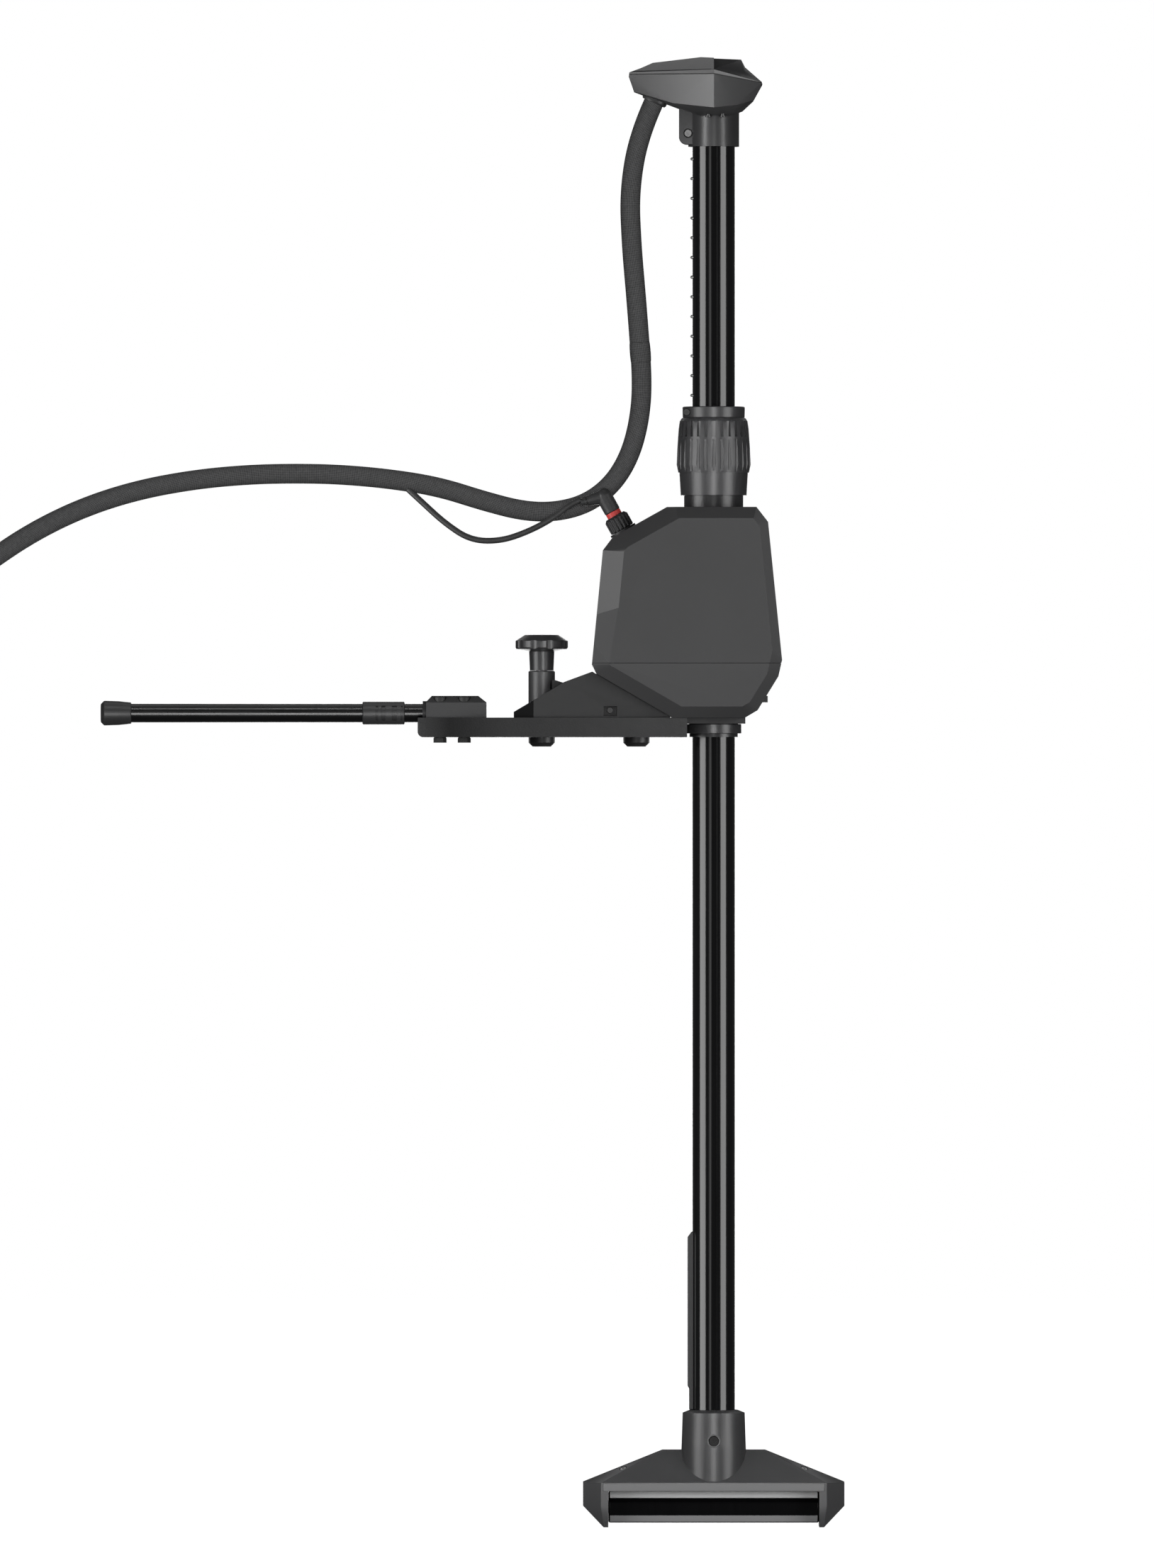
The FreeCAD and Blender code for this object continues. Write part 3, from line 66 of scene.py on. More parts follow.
MM = 0.001
MAST_LOW, MAST_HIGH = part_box("mast_tube")
AXIS_X = (MAST_LOW.x + MAST_HIGH.x) / 2
DECK_Z = 0.0
FLOOR_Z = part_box("bar_housing")[0].z - 0.12


# ---- camera, lights and floor ----

def make_camera():
    """A very long lens, level and square on, a little left of the mast."""
    distance = 20.0
    view_height = 1.4046
    left_of_mast = 0.1224
    middle_height = -0.0419
    data = bpy.data.cameras.new("camera")
    data.sensor_width = 36.0
    data.lens = data.sensor_width * distance / view_height
    data.clip_end = 100.0
    camera = bpy.data.objects.new("camera", data)
    camera.location = (AXIS_X - left_of_mast, -distance, middle_height)
    camera.rotation_euler = (math.radians(90), 0, 0)
    bpy.context.scene.collection.objects.link(camera)
    bpy.context.scene.camera = camera


def softbox(name, azimuth, elevation, distance, width, height, radiance, centre):
    """A soft light at an azimuth from the camera's side, negative to its left."""
    turn = math.radians(azimuth)
    lift = math.radians(elevation)
    data = bpy.data.lights.new(name, "AREA")
    data.shape = "RECTANGLE"
    data.size = width
    data.size_y = height
    data.energy = radiance * math.pi * width * height
    light = bpy.data.objects.new(name, data)
    level = math.cos(lift)
    away = Vector((math.sin(turn) * level, -math.cos(turn) * level, math.sin(lift)))
    light.location = centre + away * distance
    light.rotation_euler = away.to_track_quat("Z", "Y").to_euler()
    light.visible_camera = False
    bpy.context.scene.collection.objects.link(light)
    return light


def only_for(light, pieces):
    """Limit a light to some pieces."""
    receivers = bpy.data.collections.new(light.name + "_receivers")
    for piece in pieces:
        receivers.objects.link(piece)
    light.light_linking.receiver_collection = receivers


# turned pieces, which a close tall light in front gives a middle highlight
TURNED = ("collar_nut", "lower_flange", "lock_knob", "lock_sleeve", "depth_ring", "bar_housing")
ROD = ("handle_rod", "handle_tip", "handle_coupler")
# glossy pieces, which would mirror a light beside the lens
GLOSSY = ("mast_tube", "array_window")
# large flat pieces, on which a light from behind leaves no bright rim
FLAT = ("housing_cover", "housing_base", "base_plate", "wedge_bracket", "handle_block")
# pieces whose edges would catch the light straight behind them
RIMMED = ("head_lower_shell", "head_upper_shell", "bar_housing")
# pieces whose left sides stay dark
DIM_LEFT = ("wedge_bracket", "base_plate")


def light_groups():
    """The sets of pieces that a light can be limited to."""
    pieces = [obj for obj in bpy.context.scene.objects if obj.type == "MESH"]
    hoses = [obj for obj in pieces if obj.name.startswith("braided_")]
    own_way = TURNED + ROD + ("head_lower_shell",)
    plain = [obj for obj in pieces if obj not in hoses and obj.name not in own_way]
    return {
        "hoses": hoses,
        "plain": plain,
        "plain, left": [obj for obj in plain if obj.name not in DIM_LEFT],
        "plain, front": [obj for obj in plain if obj.name not in GLOSSY],
        "rimless": [obj for obj in pieces if obj.name not in RIMMED],
        "turned": [NODES[name] for name in TURNED],
        "rods": [NODES[name] for name in ROD],
        "flat": [NODES[name] for name in FLAT],
        "head": [NODES["head_lower_shell"]],
        "crown": [NODES["head_upper_shell"]],
        "bar": [NODES["bar_housing"]],
    }


def make_lights():
    """Tall boxes at both sides, close ones in front of turned pieces and low ones behind."""
    groups = light_groups()
    axis = Vector((AXIS_X, 0, 0))
    upper = axis + Vector((0, 0, 0.05))
    head_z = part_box("head_lower_shell")[0].z
    cheek_left = Vector((AXIS_X + 0.01, -0.065, head_z))
    cheek_right = Vector((AXIS_X + 0.035, -0.055, head_z))
    clamp = Vector((AXIS_X + 0.006, -0.02, head_z))
    rod_low, rod_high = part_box("handle_rod")
    rod = (rod_low + rod_high) / 2
    # name, its pieces, azimuth, elevation, distance, width, height, radiance, aimed at
    rows = (
        ("key_left", "plain, left", -63, 0, 2.6, 1.6, 1.8, 5.8, axis),
        ("key_right", "plain", 54, 0, 2.6, 1.5, 1.8, 5.2, axis),
        ("turned_left", "turned", -58, 0, 2.6, 1.4, 1.8, 5.2, axis),
        ("turned_right", "turned", 52, 0, 2.6, 1.3, 1.8, 5.0, axis),
        ("turned_front", "turned", 0, 0, 0.62, 0.15, 1.6, 8.0, upper),
        ("head_left", "head", -46, 0, 0.45, 0.09, 0.6, 11.0, cheek_left),
        ("head_right", "head", 44, 0, 0.45, 0.06, 0.6, 11.0, cheek_right),
        ("head_front", "head", 0, -8, 0.25, 0.03, 0.12, 7.0, clamp),
        ("crown", "crown", -133, 44, 2.6, 1.2, 1.0, 1.3, axis),
        ("head_crest", "crown", -50, 42, 2.6, 0.9, 0.9, 3.2, axis),
        ("bar_lid_left", "bar", -151, 38, 2.6, 1.2, 0.9, 0.55, axis),
        ("bar_lid_right", "bar", 151, 38, 2.6, 1.2, 0.9, 0.55, axis),
        ("back", "rimless", 180, 0, 2.8, 1.0, 2.0, 3.4, axis),
        ("strip_left", None, -20, 0, 3.2, 0.6, 2.0, 1.2, axis),
        ("strip_right", None, 19, 0, 3.2, 0.07, 2.0, 1.2, axis),
        ("back_left", "flat", -152, 8, 2.8, 1.6, 1.8, 1.8, axis),
        ("back_left_fill", None, -152, 30, 2.8, 1.2, 0.8, 0.5, axis),
        ("back_right", "flat", 152, 8, 2.8, 1.6, 1.8, 1.8, axis),
        ("back_right_fill", None, 152, 30, 2.8, 1.2, 0.8, 0.5, axis),
        ("top", None, 0, 88, 2.6, 1.6, 1.6, 0.35, axis),
        ("front", "plain, front", 0, 0, 3.4, 0.45, 1.9, 4.2, axis),
        ("front_hose", "hoses", 0, 4, 3.4, 0.5, 1.0, 13.5, axis),
        ("rod_band", "rods", 0, -10, 3.0, 1.2, 0.7, 13.0, rod),
        ("rod_line", "rods", 0, 56, 3.0, 1.2, 0.2, 14.0, rod),
        ("rod_edge", "rods", 0, 108, 3.0, 1.2, 0.8, 1.2, rod),
    )
    for name, group, *placing in rows:
        light = softbox(name, *placing)
        if group:
            only_for(light, groups[group])


def make_world():
    """White to the camera, and a dim grey room to everything else."""
    world = bpy.data.worlds.new("room")
    world.use_nodes = True
    tree = world.node_tree
    tree.nodes.clear()
    path = tree.nodes.new("ShaderNodeLightPath")
    room = tree.nodes.new("ShaderNodeBackground")
    room.inputs["Color"].default_value = (0.05, 0.0505, 0.051, 1)
    white = tree.nodes.new("ShaderNodeBackground")
    white.inputs["Color"].default_value = (1, 1, 1, 1)
    mix = tree.nodes.new("ShaderNodeMixShader")
    out = tree.nodes.new("ShaderNodeOutputWorld")
    tree.links.new(path.outputs["Is Camera Ray"], mix.inputs["Fac"])
    tree.links.new(room.outputs["Background"], mix.inputs[1])
    tree.links.new(white.outputs["Background"], mix.inputs[2])
    tree.links.new(mix.outputs["Shader"], out.inputs["Surface"])
    bpy.context.scene.world = world
    bpy.context.scene.view_settings.view_transform = "Standard"


# ---- materials ----

class Nodes:
    """A small helper for one node material."""

    def __init__(self, name):
        self.material = bpy.data.materials.new(name)
        self.material.use_nodes = True
        self.tree = self.material.node_tree
        self.tree.nodes.clear()
        self.out = self.add("ShaderNodeOutputMaterial")
        self.shader = self.add("ShaderNodeBsdfPrincipled")
        self.link(self.shader, "BSDF", self.out, "Surface")
        self.place = self.add("ShaderNodeTexCoord")

    def add(self, kind, **values):
        node = self.tree.nodes.new(kind)
        for key, value in values.items():
            setattr(node, key, value)
        return node

    def link(self, source, output, target, socket):
        self.tree.links.new(source.outputs[output], target.inputs[socket])

    def set(self, node, **values):
        for key, value in values.items():
            node.inputs[key.replace("_", " ")].default_value = value

    def noise(self, scale, detail=3.0, stretch=(1, 1, 1)):
        mapping = self.add("ShaderNodeMapping")
        mapping.inputs["Scale"].default_value = stretch
        self.link(self.place, "Object", mapping, "Vector")
        noise = self.add("ShaderNodeTexNoise")
        self.set(noise, Scale=scale, Detail=detail, Roughness=0.55)
        self.link(mapping, "Vector", noise, "Vector")
        return noise

    def ramp(self, source, output, low, high, first, last):
        """A colour that goes from first to last as a value goes from low to high."""
        ramp = self.add("ShaderNodeValToRGB")
        ramp.color_ramp.elements[0].position = low
        ramp.color_ramp.elements[0].color = (*first, 1)
        ramp.color_ramp.elements[1].position = high
        ramp.color_ramp.elements[1].color = (*last, 1)
        self.link(source, output, ramp, "Fac")
        return ramp

    def bump(self, source, output, distance):
        bump = self.add("ShaderNodeBump")
        self.set(bump, Distance=distance, Strength=1.0)
        self.link(source, output, bump, "Height")
        self.link(bump, "Normal", self.shader, "Normal")

    def rough(self, source, output, low, high):
        """Roughness from low to high as a value goes from 0 to 1."""
        node = self.add("ShaderNodeMapRange")
        self.set(node, To_Min=low, To_Max=high)
        self.link(source, output, node, "Value")
        self.link(node, "Result", self.shader, "Roughness")


def scaled(color, factor):
    return tuple(c * factor for c in color)


def moulded(name, color, roughness, worn=1.35):
    """Moulded plastic: fine spark-eroded grain, slight mottling and lighter worn edges."""
    n = Nodes(name)
    mottle = n.noise(16.0, detail=5.0)
    shade = n.ramp(mottle, "Fac", 0.35, 0.7, scaled(color, 0.93), scaled(color, 1.07))
    geometry = n.add("ShaderNodeNewGeometry")
    edge = n.ramp(geometry, "Pointiness", 0.505, 0.56, (0, 0, 0), (1, 1, 1))
    mix = n.add("ShaderNodeMix", data_type="RGBA")
    n.link(edge, "Color", mix, "Factor")
    n.tree.links.new(shade.outputs["Color"], mix.inputs[6])
    mix.inputs[7].default_value = (*scaled(color, worn), 1)
    n.tree.links.new(mix.outputs[2], n.shader.inputs["Base Color"])
    fine = n.noise(1500.0, detail=2.0)
    n.rough(fine, "Fac", roughness - 0.06, roughness + 0.06)
    n.bump(fine, "Fac", 0.00002)
    return n.material


def gloss(name, color, roughness, streak=0.00001, stretch=(1, 1, 0.02)):
    """A smooth, hard surface with faint drawn lines along the axis with the smallest stretch."""
    n = Nodes(name)
    lines = n.noise(260.0, detail=4.0, stretch=stretch)
    shade = n.ramp(lines, "Fac", 0.3, 0.7, scaled(color, 0.8), scaled(color, 1.2))
    n.link(shade, "Color", n.shader, "Base Color")
    smear = n.noise(30.0, detail=3.0, stretch=(1, 1, 0.3))
    n.rough(smear, "Fac", roughness * 0.7, roughness * 1.3)
    n.bump(lines, "Fac", streak)
    return n.material


def painted(name, color, roughness=0.38):
    """Powder-coated metal with a fine orange peel."""
    n = Nodes(name)
    mottle = n.noise(25.0, detail=4.0)
    shade = n.ramp(mottle, "Fac", 0.35, 0.7, scaled(color, 0.9), scaled(color, 1.1))
    n.link(shade, "Color", n.shader, "Base Color")
    peel = n.noise(700.0, detail=1.5)
    n.rough(peel, "Fac", roughness - 0.05, roughness + 0.07)
    n.bump(peel, "Fac", 0.00008)
    return n.material


def metal(name, color, roughness):
    """Turned or brushed metal with fine scratches round its Z axis."""
    n = Nodes(name)
    lines = n.noise(900.0, stretch=(1, 1, 12))
    shade = n.ramp(lines, "Fac", 0.3, 0.7, scaled(color, 0.85), scaled(color, 1.1))
    n.link(shade, "Color", n.shader, "Base Color")
    n.rough(lines, "Fac", roughness - 0.08, roughness + 0.08)
    n.set(n.shader, Metallic=1.0)
    n.bump(lines, "Fac", 0.00001)
    return n.material


def bar_screw_steel(name, light, dark):
    """Plain steel lid screws at the bar's ends, and black clamp screws on the mast's axis."""
    near_axis = 0.012
    material = metal(name, light, 0.3)
    tree = material.node_tree
    shader = tree.nodes["Principled BSDF"]
    place = tree.nodes["Texture Coordinate"]
    split = tree.nodes.new("ShaderNodeSeparateXYZ")
    tree.links.new(place.outputs["Object"], split.inputs["Vector"])
    near = tree.nodes.new("ShaderNodeMath")
    near.operation = "COMPARE"
    near.inputs[1].default_value = AXIS_X
    near.inputs[2].default_value = near_axis
    tree.links.new(split.outputs["X"], near.inputs[0])
    mix = tree.nodes.new("ShaderNodeMix")
    mix.data_type = "RGBA"
    tree.links.new(near.outputs["Value"], mix.inputs["Factor"])
    shade = shader.inputs["Base Color"].links[0].from_socket
    tree.links.new(shade, mix.inputs[6])
    mix.inputs[7].default_value = (*dark, 1)
    tree.links.new(mix.outputs[2], shader.inputs["Base Color"])
    return material


def rubber(name, color, roughness=0.6):
    n = Nodes(name)
    dust = n.noise(60.0, detail=5.0)
    shade = n.ramp(dust, "Fac", 0.35, 0.75, scaled(color, 0.85), scaled(color, 1.25))
    n.link(shade, "Color", n.shader, "Base Color")
    fine = n.noise(2200.0, detail=2.0)
    n.rough(fine, "Fac", roughness - 0.08, roughness + 0.08)
    n.bump(fine, "Fac", 0.00004)
    return n.material


def board_green(name, color):
    """A lacquered circuit board with faint copper tracks under the lacquer."""
    n = Nodes(name)
    brick = n.add("ShaderNodeTexBrick")
    n.set(brick, Scale=160.0, Mortar_Size=0.012)
    brick.inputs["Color1"].default_value = (*color, 1)
    brick.inputs["Color2"].default_value = (*scaled(color, 0.8), 1)
    brick.inputs["Mortar"].default_value = (*scaled(color, 1.9), 1)
    n.link(n.place, "Object", brick, "Vector")
    n.link(brick, "Color", n.shader, "Base Color")
    n.set(n.shader, Roughness=0.25)
    n.bump(brick, "Fac", 0.00002)
    return n.material


def braid(name):
    """A woven sleeve, coloured with painted shade in the gaps between strands and painted
    highlights on their crowns. Its UV runs once round the hose in u, and in metres along it in v.
    """
    strands = 30
    pitch = 0.0021
    n = Nodes(name)
    split = n.add("ShaderNodeSeparateXYZ")
    n.link(n.place, "UV", split, "Vector")
    waves = []
    for sign in (1, -1):
        round_it = n.add("ShaderNodeMath", operation="MULTIPLY")
        round_it.inputs[1].default_value = sign * strands * math.tau
        n.link(split, "X", round_it, 0)
        along = n.add("ShaderNodeMath", operation="MULTIPLY_ADD")
        along.inputs[1].default_value = math.tau / pitch
        n.link(split, "Y", along, 0)
        n.link(round_it, "Value", along, 2)
        wave = n.add("ShaderNodeMath", operation="SINE")
        n.link(along, "Value", wave, 0)
        waves.append(wave)
    product = n.add("ShaderNodeMath", operation="MULTIPLY")
    n.link(waves[0], "Value", product, 0)
    n.link(waves[1], "Value", product, 1)
    height = n.add("ShaderNodeMath", operation="MULTIPLY_ADD")
    height.inputs[1].default_value = 0.5
    height.inputs[2].default_value = 0.5
    n.link(product, "Value", height, 0)
    # the colour follows the weave's height: painted shade near black in the gaps, painted
    # highlights light grey on the strand crowns, with random flecks added
    dirt = n.noise(400.0, detail=4.0)
    weave_shade_and_fleck = n.add("ShaderNodeMath", operation="MULTIPLY_ADD")
    weave_shade_and_fleck.inputs[1].default_value = 0.35
    n.link(dirt, "Fac", weave_shade_and_fleck, 0)
    n.link(height, "Value", weave_shade_and_fleck, 2)
    shade = n.ramp(weave_shade_and_fleck, "Value", 0.3, 1.05, (0.016, 0.016, 0.0162), (0.45, 0.45, 0.455))
    n.link(shade, "Color", n.shader, "Base Color")
    n.set(n.shader, Roughness=0.6, Specular_IOR_Level=0.2)
    n.bump(height, "Value", 0.00025)
    return n.material


def hook_and_loop(name, color):
    """A woven strap with a fine looped pile."""
    n = Nodes(name)
    weave = n.add("ShaderNodeTexWave", wave_type="BANDS", bands_direction="Z")
    n.set(weave, Scale=420.0, Distortion=1.5, Detail=2.0)
    n.link(n.place, "Object", weave, "Vector")
    shade = n.ramp(weave, "Fac", 0.2, 0.9, scaled(color, 0.7), scaled(color, 1.5))
    n.link(shade, "Color", n.shader, "Base Color")
    n.set(n.shader, Roughness=0.85, Sheen_Weight=0.4, Sheen_Roughness=0.5)
    n.bump(weave, "Fac", 0.0002)
    return n.material


def pale(name, color, glow):
    """The floor's and stand's pale paint, with a little light of its own."""
    n = Nodes(name)
    cloud = n.noise(1.5, detail=2.0)
    shade = n.ramp(cloud, "Fac", 0.2, 0.8, scaled(color, 0.98), color)
    n.link(shade, "Color", n.shader, "Base Color")
    n.set(n.shader, Roughness=0.9, Specular_IOR_Level=0.0, Emission_Strength=glow)
    n.shader.inputs["Emission Color"].default_value = (1, 1, 1, 1)
    return n.material


def make_materials():
    return {
        "housing_plastic": moulded("housing_plastic", (0.048, 0.048, 0.049), 0.48),
        "head_plastic": moulded("head_plastic", (0.035, 0.035, 0.036), 0.33),
        "bar_plastic": moulded("bar_plastic", (0.035, 0.035, 0.036), 0.33),
        "bracket_plastic": moulded("bracket_plastic", (0.033, 0.033, 0.034), 0.42),
        "knob_plastic": moulded("knob_plastic", (0.022, 0.022, 0.023), 0.32),
        "collar_plastic": moulded("collar_plastic", (0.022, 0.022, 0.023), 0.32),
        "plug_plastic": moulded("plug_plastic", (0.016, 0.016, 0.017), 0.42),
        "bush_plastic": moulded("bush_plastic", (0.66, 0.64, 0.58), 0.5, worn=1.05),
        "gear_plastic": moulded("gear_plastic", (0.68, 0.67, 0.62), 0.4, worn=1.05),
        "red_plastic": moulded("red_plastic", (0.62, 0.055, 0.05), 0.35, worn=1.1),
        "mast_gloss": gloss("mast_gloss", (0.006, 0.006, 0.0065), 0.13),
        "window_plastic": gloss("window_plastic", (0.004, 0.004, 0.0045), 0.08),
        "rod_tube": gloss("rod_tube", (0.008, 0.008, 0.0085), 0.27, 0.000002, (0.02, 1, 1)),
        "plate_metal": painted("plate_metal", (0.036, 0.036, 0.037)),
        "sleeve_metal": painted("sleeve_metal", (0.02, 0.02, 0.021), 0.3),
        "black_screw": metal("black_screw", (0.09, 0.09, 0.09), 0.4),
        "screw_steel": metal("screw_steel", (0.6, 0.6, 0.59), 0.28),
        "dull_steel": metal("dull_steel", (0.32, 0.32, 0.32), 0.4),
        "spring_steel": metal("spring_steel", (0.5, 0.5, 0.5), 0.3),
        "pin_steel": metal("pin_steel", (0.55, 0.55, 0.55), 0.22),
        "motor_steel": metal("motor_steel", (0.5, 0.5, 0.51), 0.35),
        "gear_brass": metal("gear_brass", (0.72, 0.52, 0.22), 0.3),
        "seal_rubber": rubber("seal_rubber", (0.02, 0.02, 0.02)),
        "cord_rubber": rubber("cord_rubber", (0.042, 0.042, 0.0425), 0.4),
        "board_green": board_green("board_green", (0.02, 0.15, 0.06)),
        "braid": braid("braid"),
        "bar_screw_steel": bar_screw_steel(
            "bar_screw_steel", (0.6, 0.6, 0.59), (0.03, 0.03, 0.03)),
        "rail_grey": moulded("rail_grey", (0.166, 0.166, 0.168), 0.42),
        # painted reflections: light grey strips laid on the glossy window where the lamps above
        # and below would shine in it
        "painted_reflection_top_grey": moulded("painted_reflection_top_grey", (0.8, 0.8, 0.802), 0.42),
        "painted_reflection_low_grey": moulded("painted_reflection_low_grey", (0.174, 0.174, 0.176), 0.42),
        "handle_end": moulded("handle_end", (0.05, 0.05, 0.051), 0.42),
        "strap": hook_and_loop("strap", (0.012, 0.012, 0.0125)),
    }


# ---- geometry helpers ----

def mesh_piece(name, bm, material):
    """An object from a bmesh, shaded smooth."""
    mesh = bpy.data.meshes.new(name)
    bm.normal_update()
    bm.to_mesh(mesh)
    bm.free()
    mesh.polygons.foreach_set("use_smooth", [True] * len(mesh.polygons))
    mesh.materials.append(material)
    piece = bpy.data.objects.new(name, mesh)
    bpy.context.scene.collection.objects.link(piece)
    return piece


def soften(obj, width):
    """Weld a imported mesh, round its sharp edges and shade it by face area."""
    weld = obj.modifiers.new("weld", "WELD")
    weld.merge_threshold = 0.00001
    flat = obj.modifiers.new("flat", "DECIMATE")
    flat.decimate_type = "DISSOLVE"
    flat.angle_limit = math.radians(0.4)
    bevel = obj.modifiers.new("edges", "BEVEL")
    bevel.width = width
    bevel.segments = 2
    bevel.limit_method = "ANGLE"
    bevel.angle_limit = math.radians(28)
    bevel.miter_outer = "MITER_ARC"
    shade = obj.modifiers.new("shade", "WEIGHTED_NORMAL")
    shade.weight = 60


def nurbs_line(points):
    """Points along a smooth curve whose control points are the route's points."""
    data = bpy.data.curves.new("route", "CURVE")
    data.dimensions = "3D"
    spline = data.splines.new("NURBS")
    spline.points.add(len(points) - 1)
    for target, point in zip(spline.points, points):
        target.co = (*point, 1)
    spline.order_u = 3
    spline.use_endpoint_u = True
    spline.resolution_u = 12
    holder = bpy.data.objects.new("route", data)
    mesh = bpy.data.meshes.new_from_object(holder)
    line = [v.co.copy() for v in mesh.vertices]
    bpy.data.objects.remove(holder)
    bpy.data.meshes.remove(mesh)
    return line


def even_line(line, step):
    """The same line with points an even step apart."""
    lengths = [0.0]
    for a, b in zip(line, line[1:]):
        lengths.append(lengths[-1] + (b - a).length)
    count = max(2, round(lengths[-1] / step))
    points = []
    k = 0
    for i in range(count + 1):
        want = lengths[-1] * i / count
        while k < len(line) - 2 and lengths[k + 1] < want:
            k += 1
        share = (want - lengths[k]) / max(lengths[k + 1] - lengths[k], 1e-9)
        points.append(line[k].lerp(line[k + 1], min(1.0, max(0.0, share))))
    return points


def swept(name, line, radius, material, sides=32):
    """A closed tube along a line, with UV once round in u and in metres along in v.

    The radius is a number, or a function of how far along the line it is, from 0 to 1."""
    bm = bmesh.new()
    width = radius if callable(radius) else lambda share: radius
    uv = bm.loops.layers.uv.new("UVMap")
    tangents = [(b - a).normalized() for a, b in zip(line, line[1:])]
    tangents.append(tangents[-1])
    side = tangents[0].orthogonal().normalized()
    rings = []
    along = [0.0]
    for i, point in enumerate(line):
        side = (side - tangents[i] * side.dot(tangents[i])).normalized()
        other = tangents[i].cross(side)
        if i:
            along.append(along[-1] + (point - line[i - 1]).length)
        ring = []
        for k in range(sides):
            turn = math.tau * k / sides
            out = side * math.cos(turn) + other * math.sin(turn)
            ring.append(bm.verts.new(point + out * width(i / (len(line) - 1))))
        rings.append(ring)
    for i in range(len(rings) - 1):
        for k in range(sides):
            after = (k + 1) % sides
            here, there = rings[i], rings[i + 1]
            face = bm.faces.new((here[k], here[after], there[after], there[k]))
            values = ((k, i), (k + 1, i), (k + 1, i + 1), (k, i + 1))
            for loop, (u, v) in zip(face.loops, values):
                loop[uv].uv = (u / sides, along[v])
    bm.faces.new(list(reversed(rings[0])))
    bm.faces.new(rings[-1])
    return mesh_piece(name, bm, material)


def rounded_slab(x_range, y_range, z_range, corner):
    """A flat slab with round corners, as a bmesh."""
    steps = 6
    bm = bmesh.new()
    outline = []
    quarter = math.pi / 2
    corners = ((x_range[1], y_range[1], 0), (x_range[0], y_range[1], 1),
               (x_range[0], y_range[0], 2), (x_range[1], y_range[0], 3))
    for x, y, q in corners:
        cx = x - corner if x == x_range[1] else x + corner
        cy = y - corner if y == y_range[1] else y + corner
        for i in range(steps + 1):
            turn = quarter * (q + i / steps)
            outline.append((cx + corner * math.cos(turn), cy + corner * math.sin(turn)))
    face = bm.faces.new([bm.verts.new((x, y, z_range[0])) for x, y in outline])
    raised = bmesh.ops.extrude_face_region(bm, geom=[face])
    verts = [v for v in raised["geom"] if isinstance(v, bmesh.types.BMVert)]
    bmesh.ops.translate(bm, verts=verts, vec=(0, 0, z_range[1] - z_range[0]))
    bmesh.ops.recalc_face_normals(bm, faces=bm.faces)
    return bm


def lathe(corners, sides, centre):
    """A solid of revolution about Z from (radius, height) corners, closed where radius is 0."""
    bm = bmesh.new()
    rings = []
    for radius, height in corners:
        if radius < 1e-7:
            rings.append([bm.verts.new((centre[0], centre[1], centre[2] + height))])
            continue
        rings.append([bm.verts.new((centre[0] + radius * math.cos(math.tau * k / sides),
                                    centre[1] + radius * math.sin(math.tau * k / sides),
                                    centre[2] + height)) for k in range(sides)])
    for low, high in zip(rings, rings[1:]):
        for k in range(sides):
            after = (k + 1) % sides
            a = low[k % len(low)]
            b = low[after % len(low)]
            c = high[after % len(high)]
            d = high[k % len(high)]
            loop = []
            for v in (a, b, c, d):
                if v not in loop:
                    loop.append(v)
            if len(loop) > 2:
                bm.faces.new(loop)
    bmesh.ops.recalc_face_normals(bm, faces=bm.faces)
    return bm


# ---- the CAD nodes' finish ----

# how far each node's sharp edges are rounded, in mm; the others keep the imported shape
EDGE_MM = {
    "housing_base": 0.9, "housing_cover": 0.9, "wedge_bracket": 0.8, "base_plate": 0.8,
    "handle_block": 1.6, "handle_coupler": 0.35, "handle_tip": 0.8, "head_lower_shell": 1.0,
    "head_upper_shell": 1.0, "bar_housing": 0.8, "collar_nut": 0.3, "depth_ring": 0.4,
    "lock_knob": 0.9, "lock_sleeve": 0.4, "lower_flange": 0.5, "plug_nut": 0.3,
    "plug_elbow": 0.4, "plug_ring": 0.3, "cable_guard": 0.8, "hose_plug": 0.6,
    "hose_boot": 0.4, "array_window": 0.3,
}

# nodes whose look differs from their slot's usual one
SPECIAL_LOOK = {"bar_screws": "bar_screw_steel", "head_screws": "black_screw",
                "head_clamp_screw": "dull_steel", "handle_bolts": "seal_rubber",
                "handle_nuts": "seal_rubber", "depth_ring_screw": "black_screw",
                "plug_elbow": "bracket_plastic", "handle_tip": "handle_end",
                "handle_coupler": "handle_end"}


def finish_nodes(materials):
    for entry in frame["record"]["subparts"]:
        name = entry["node"]
        obj = NODES[name]
        obj.data.materials.clear()
        obj.data.materials.append(materials[SPECIAL_LOOK.get(name, entry["material_slot"])])
        if name in EDGE_MM:
            soften(obj, EDGE_MM[name] * MM)


# ---- cords ----

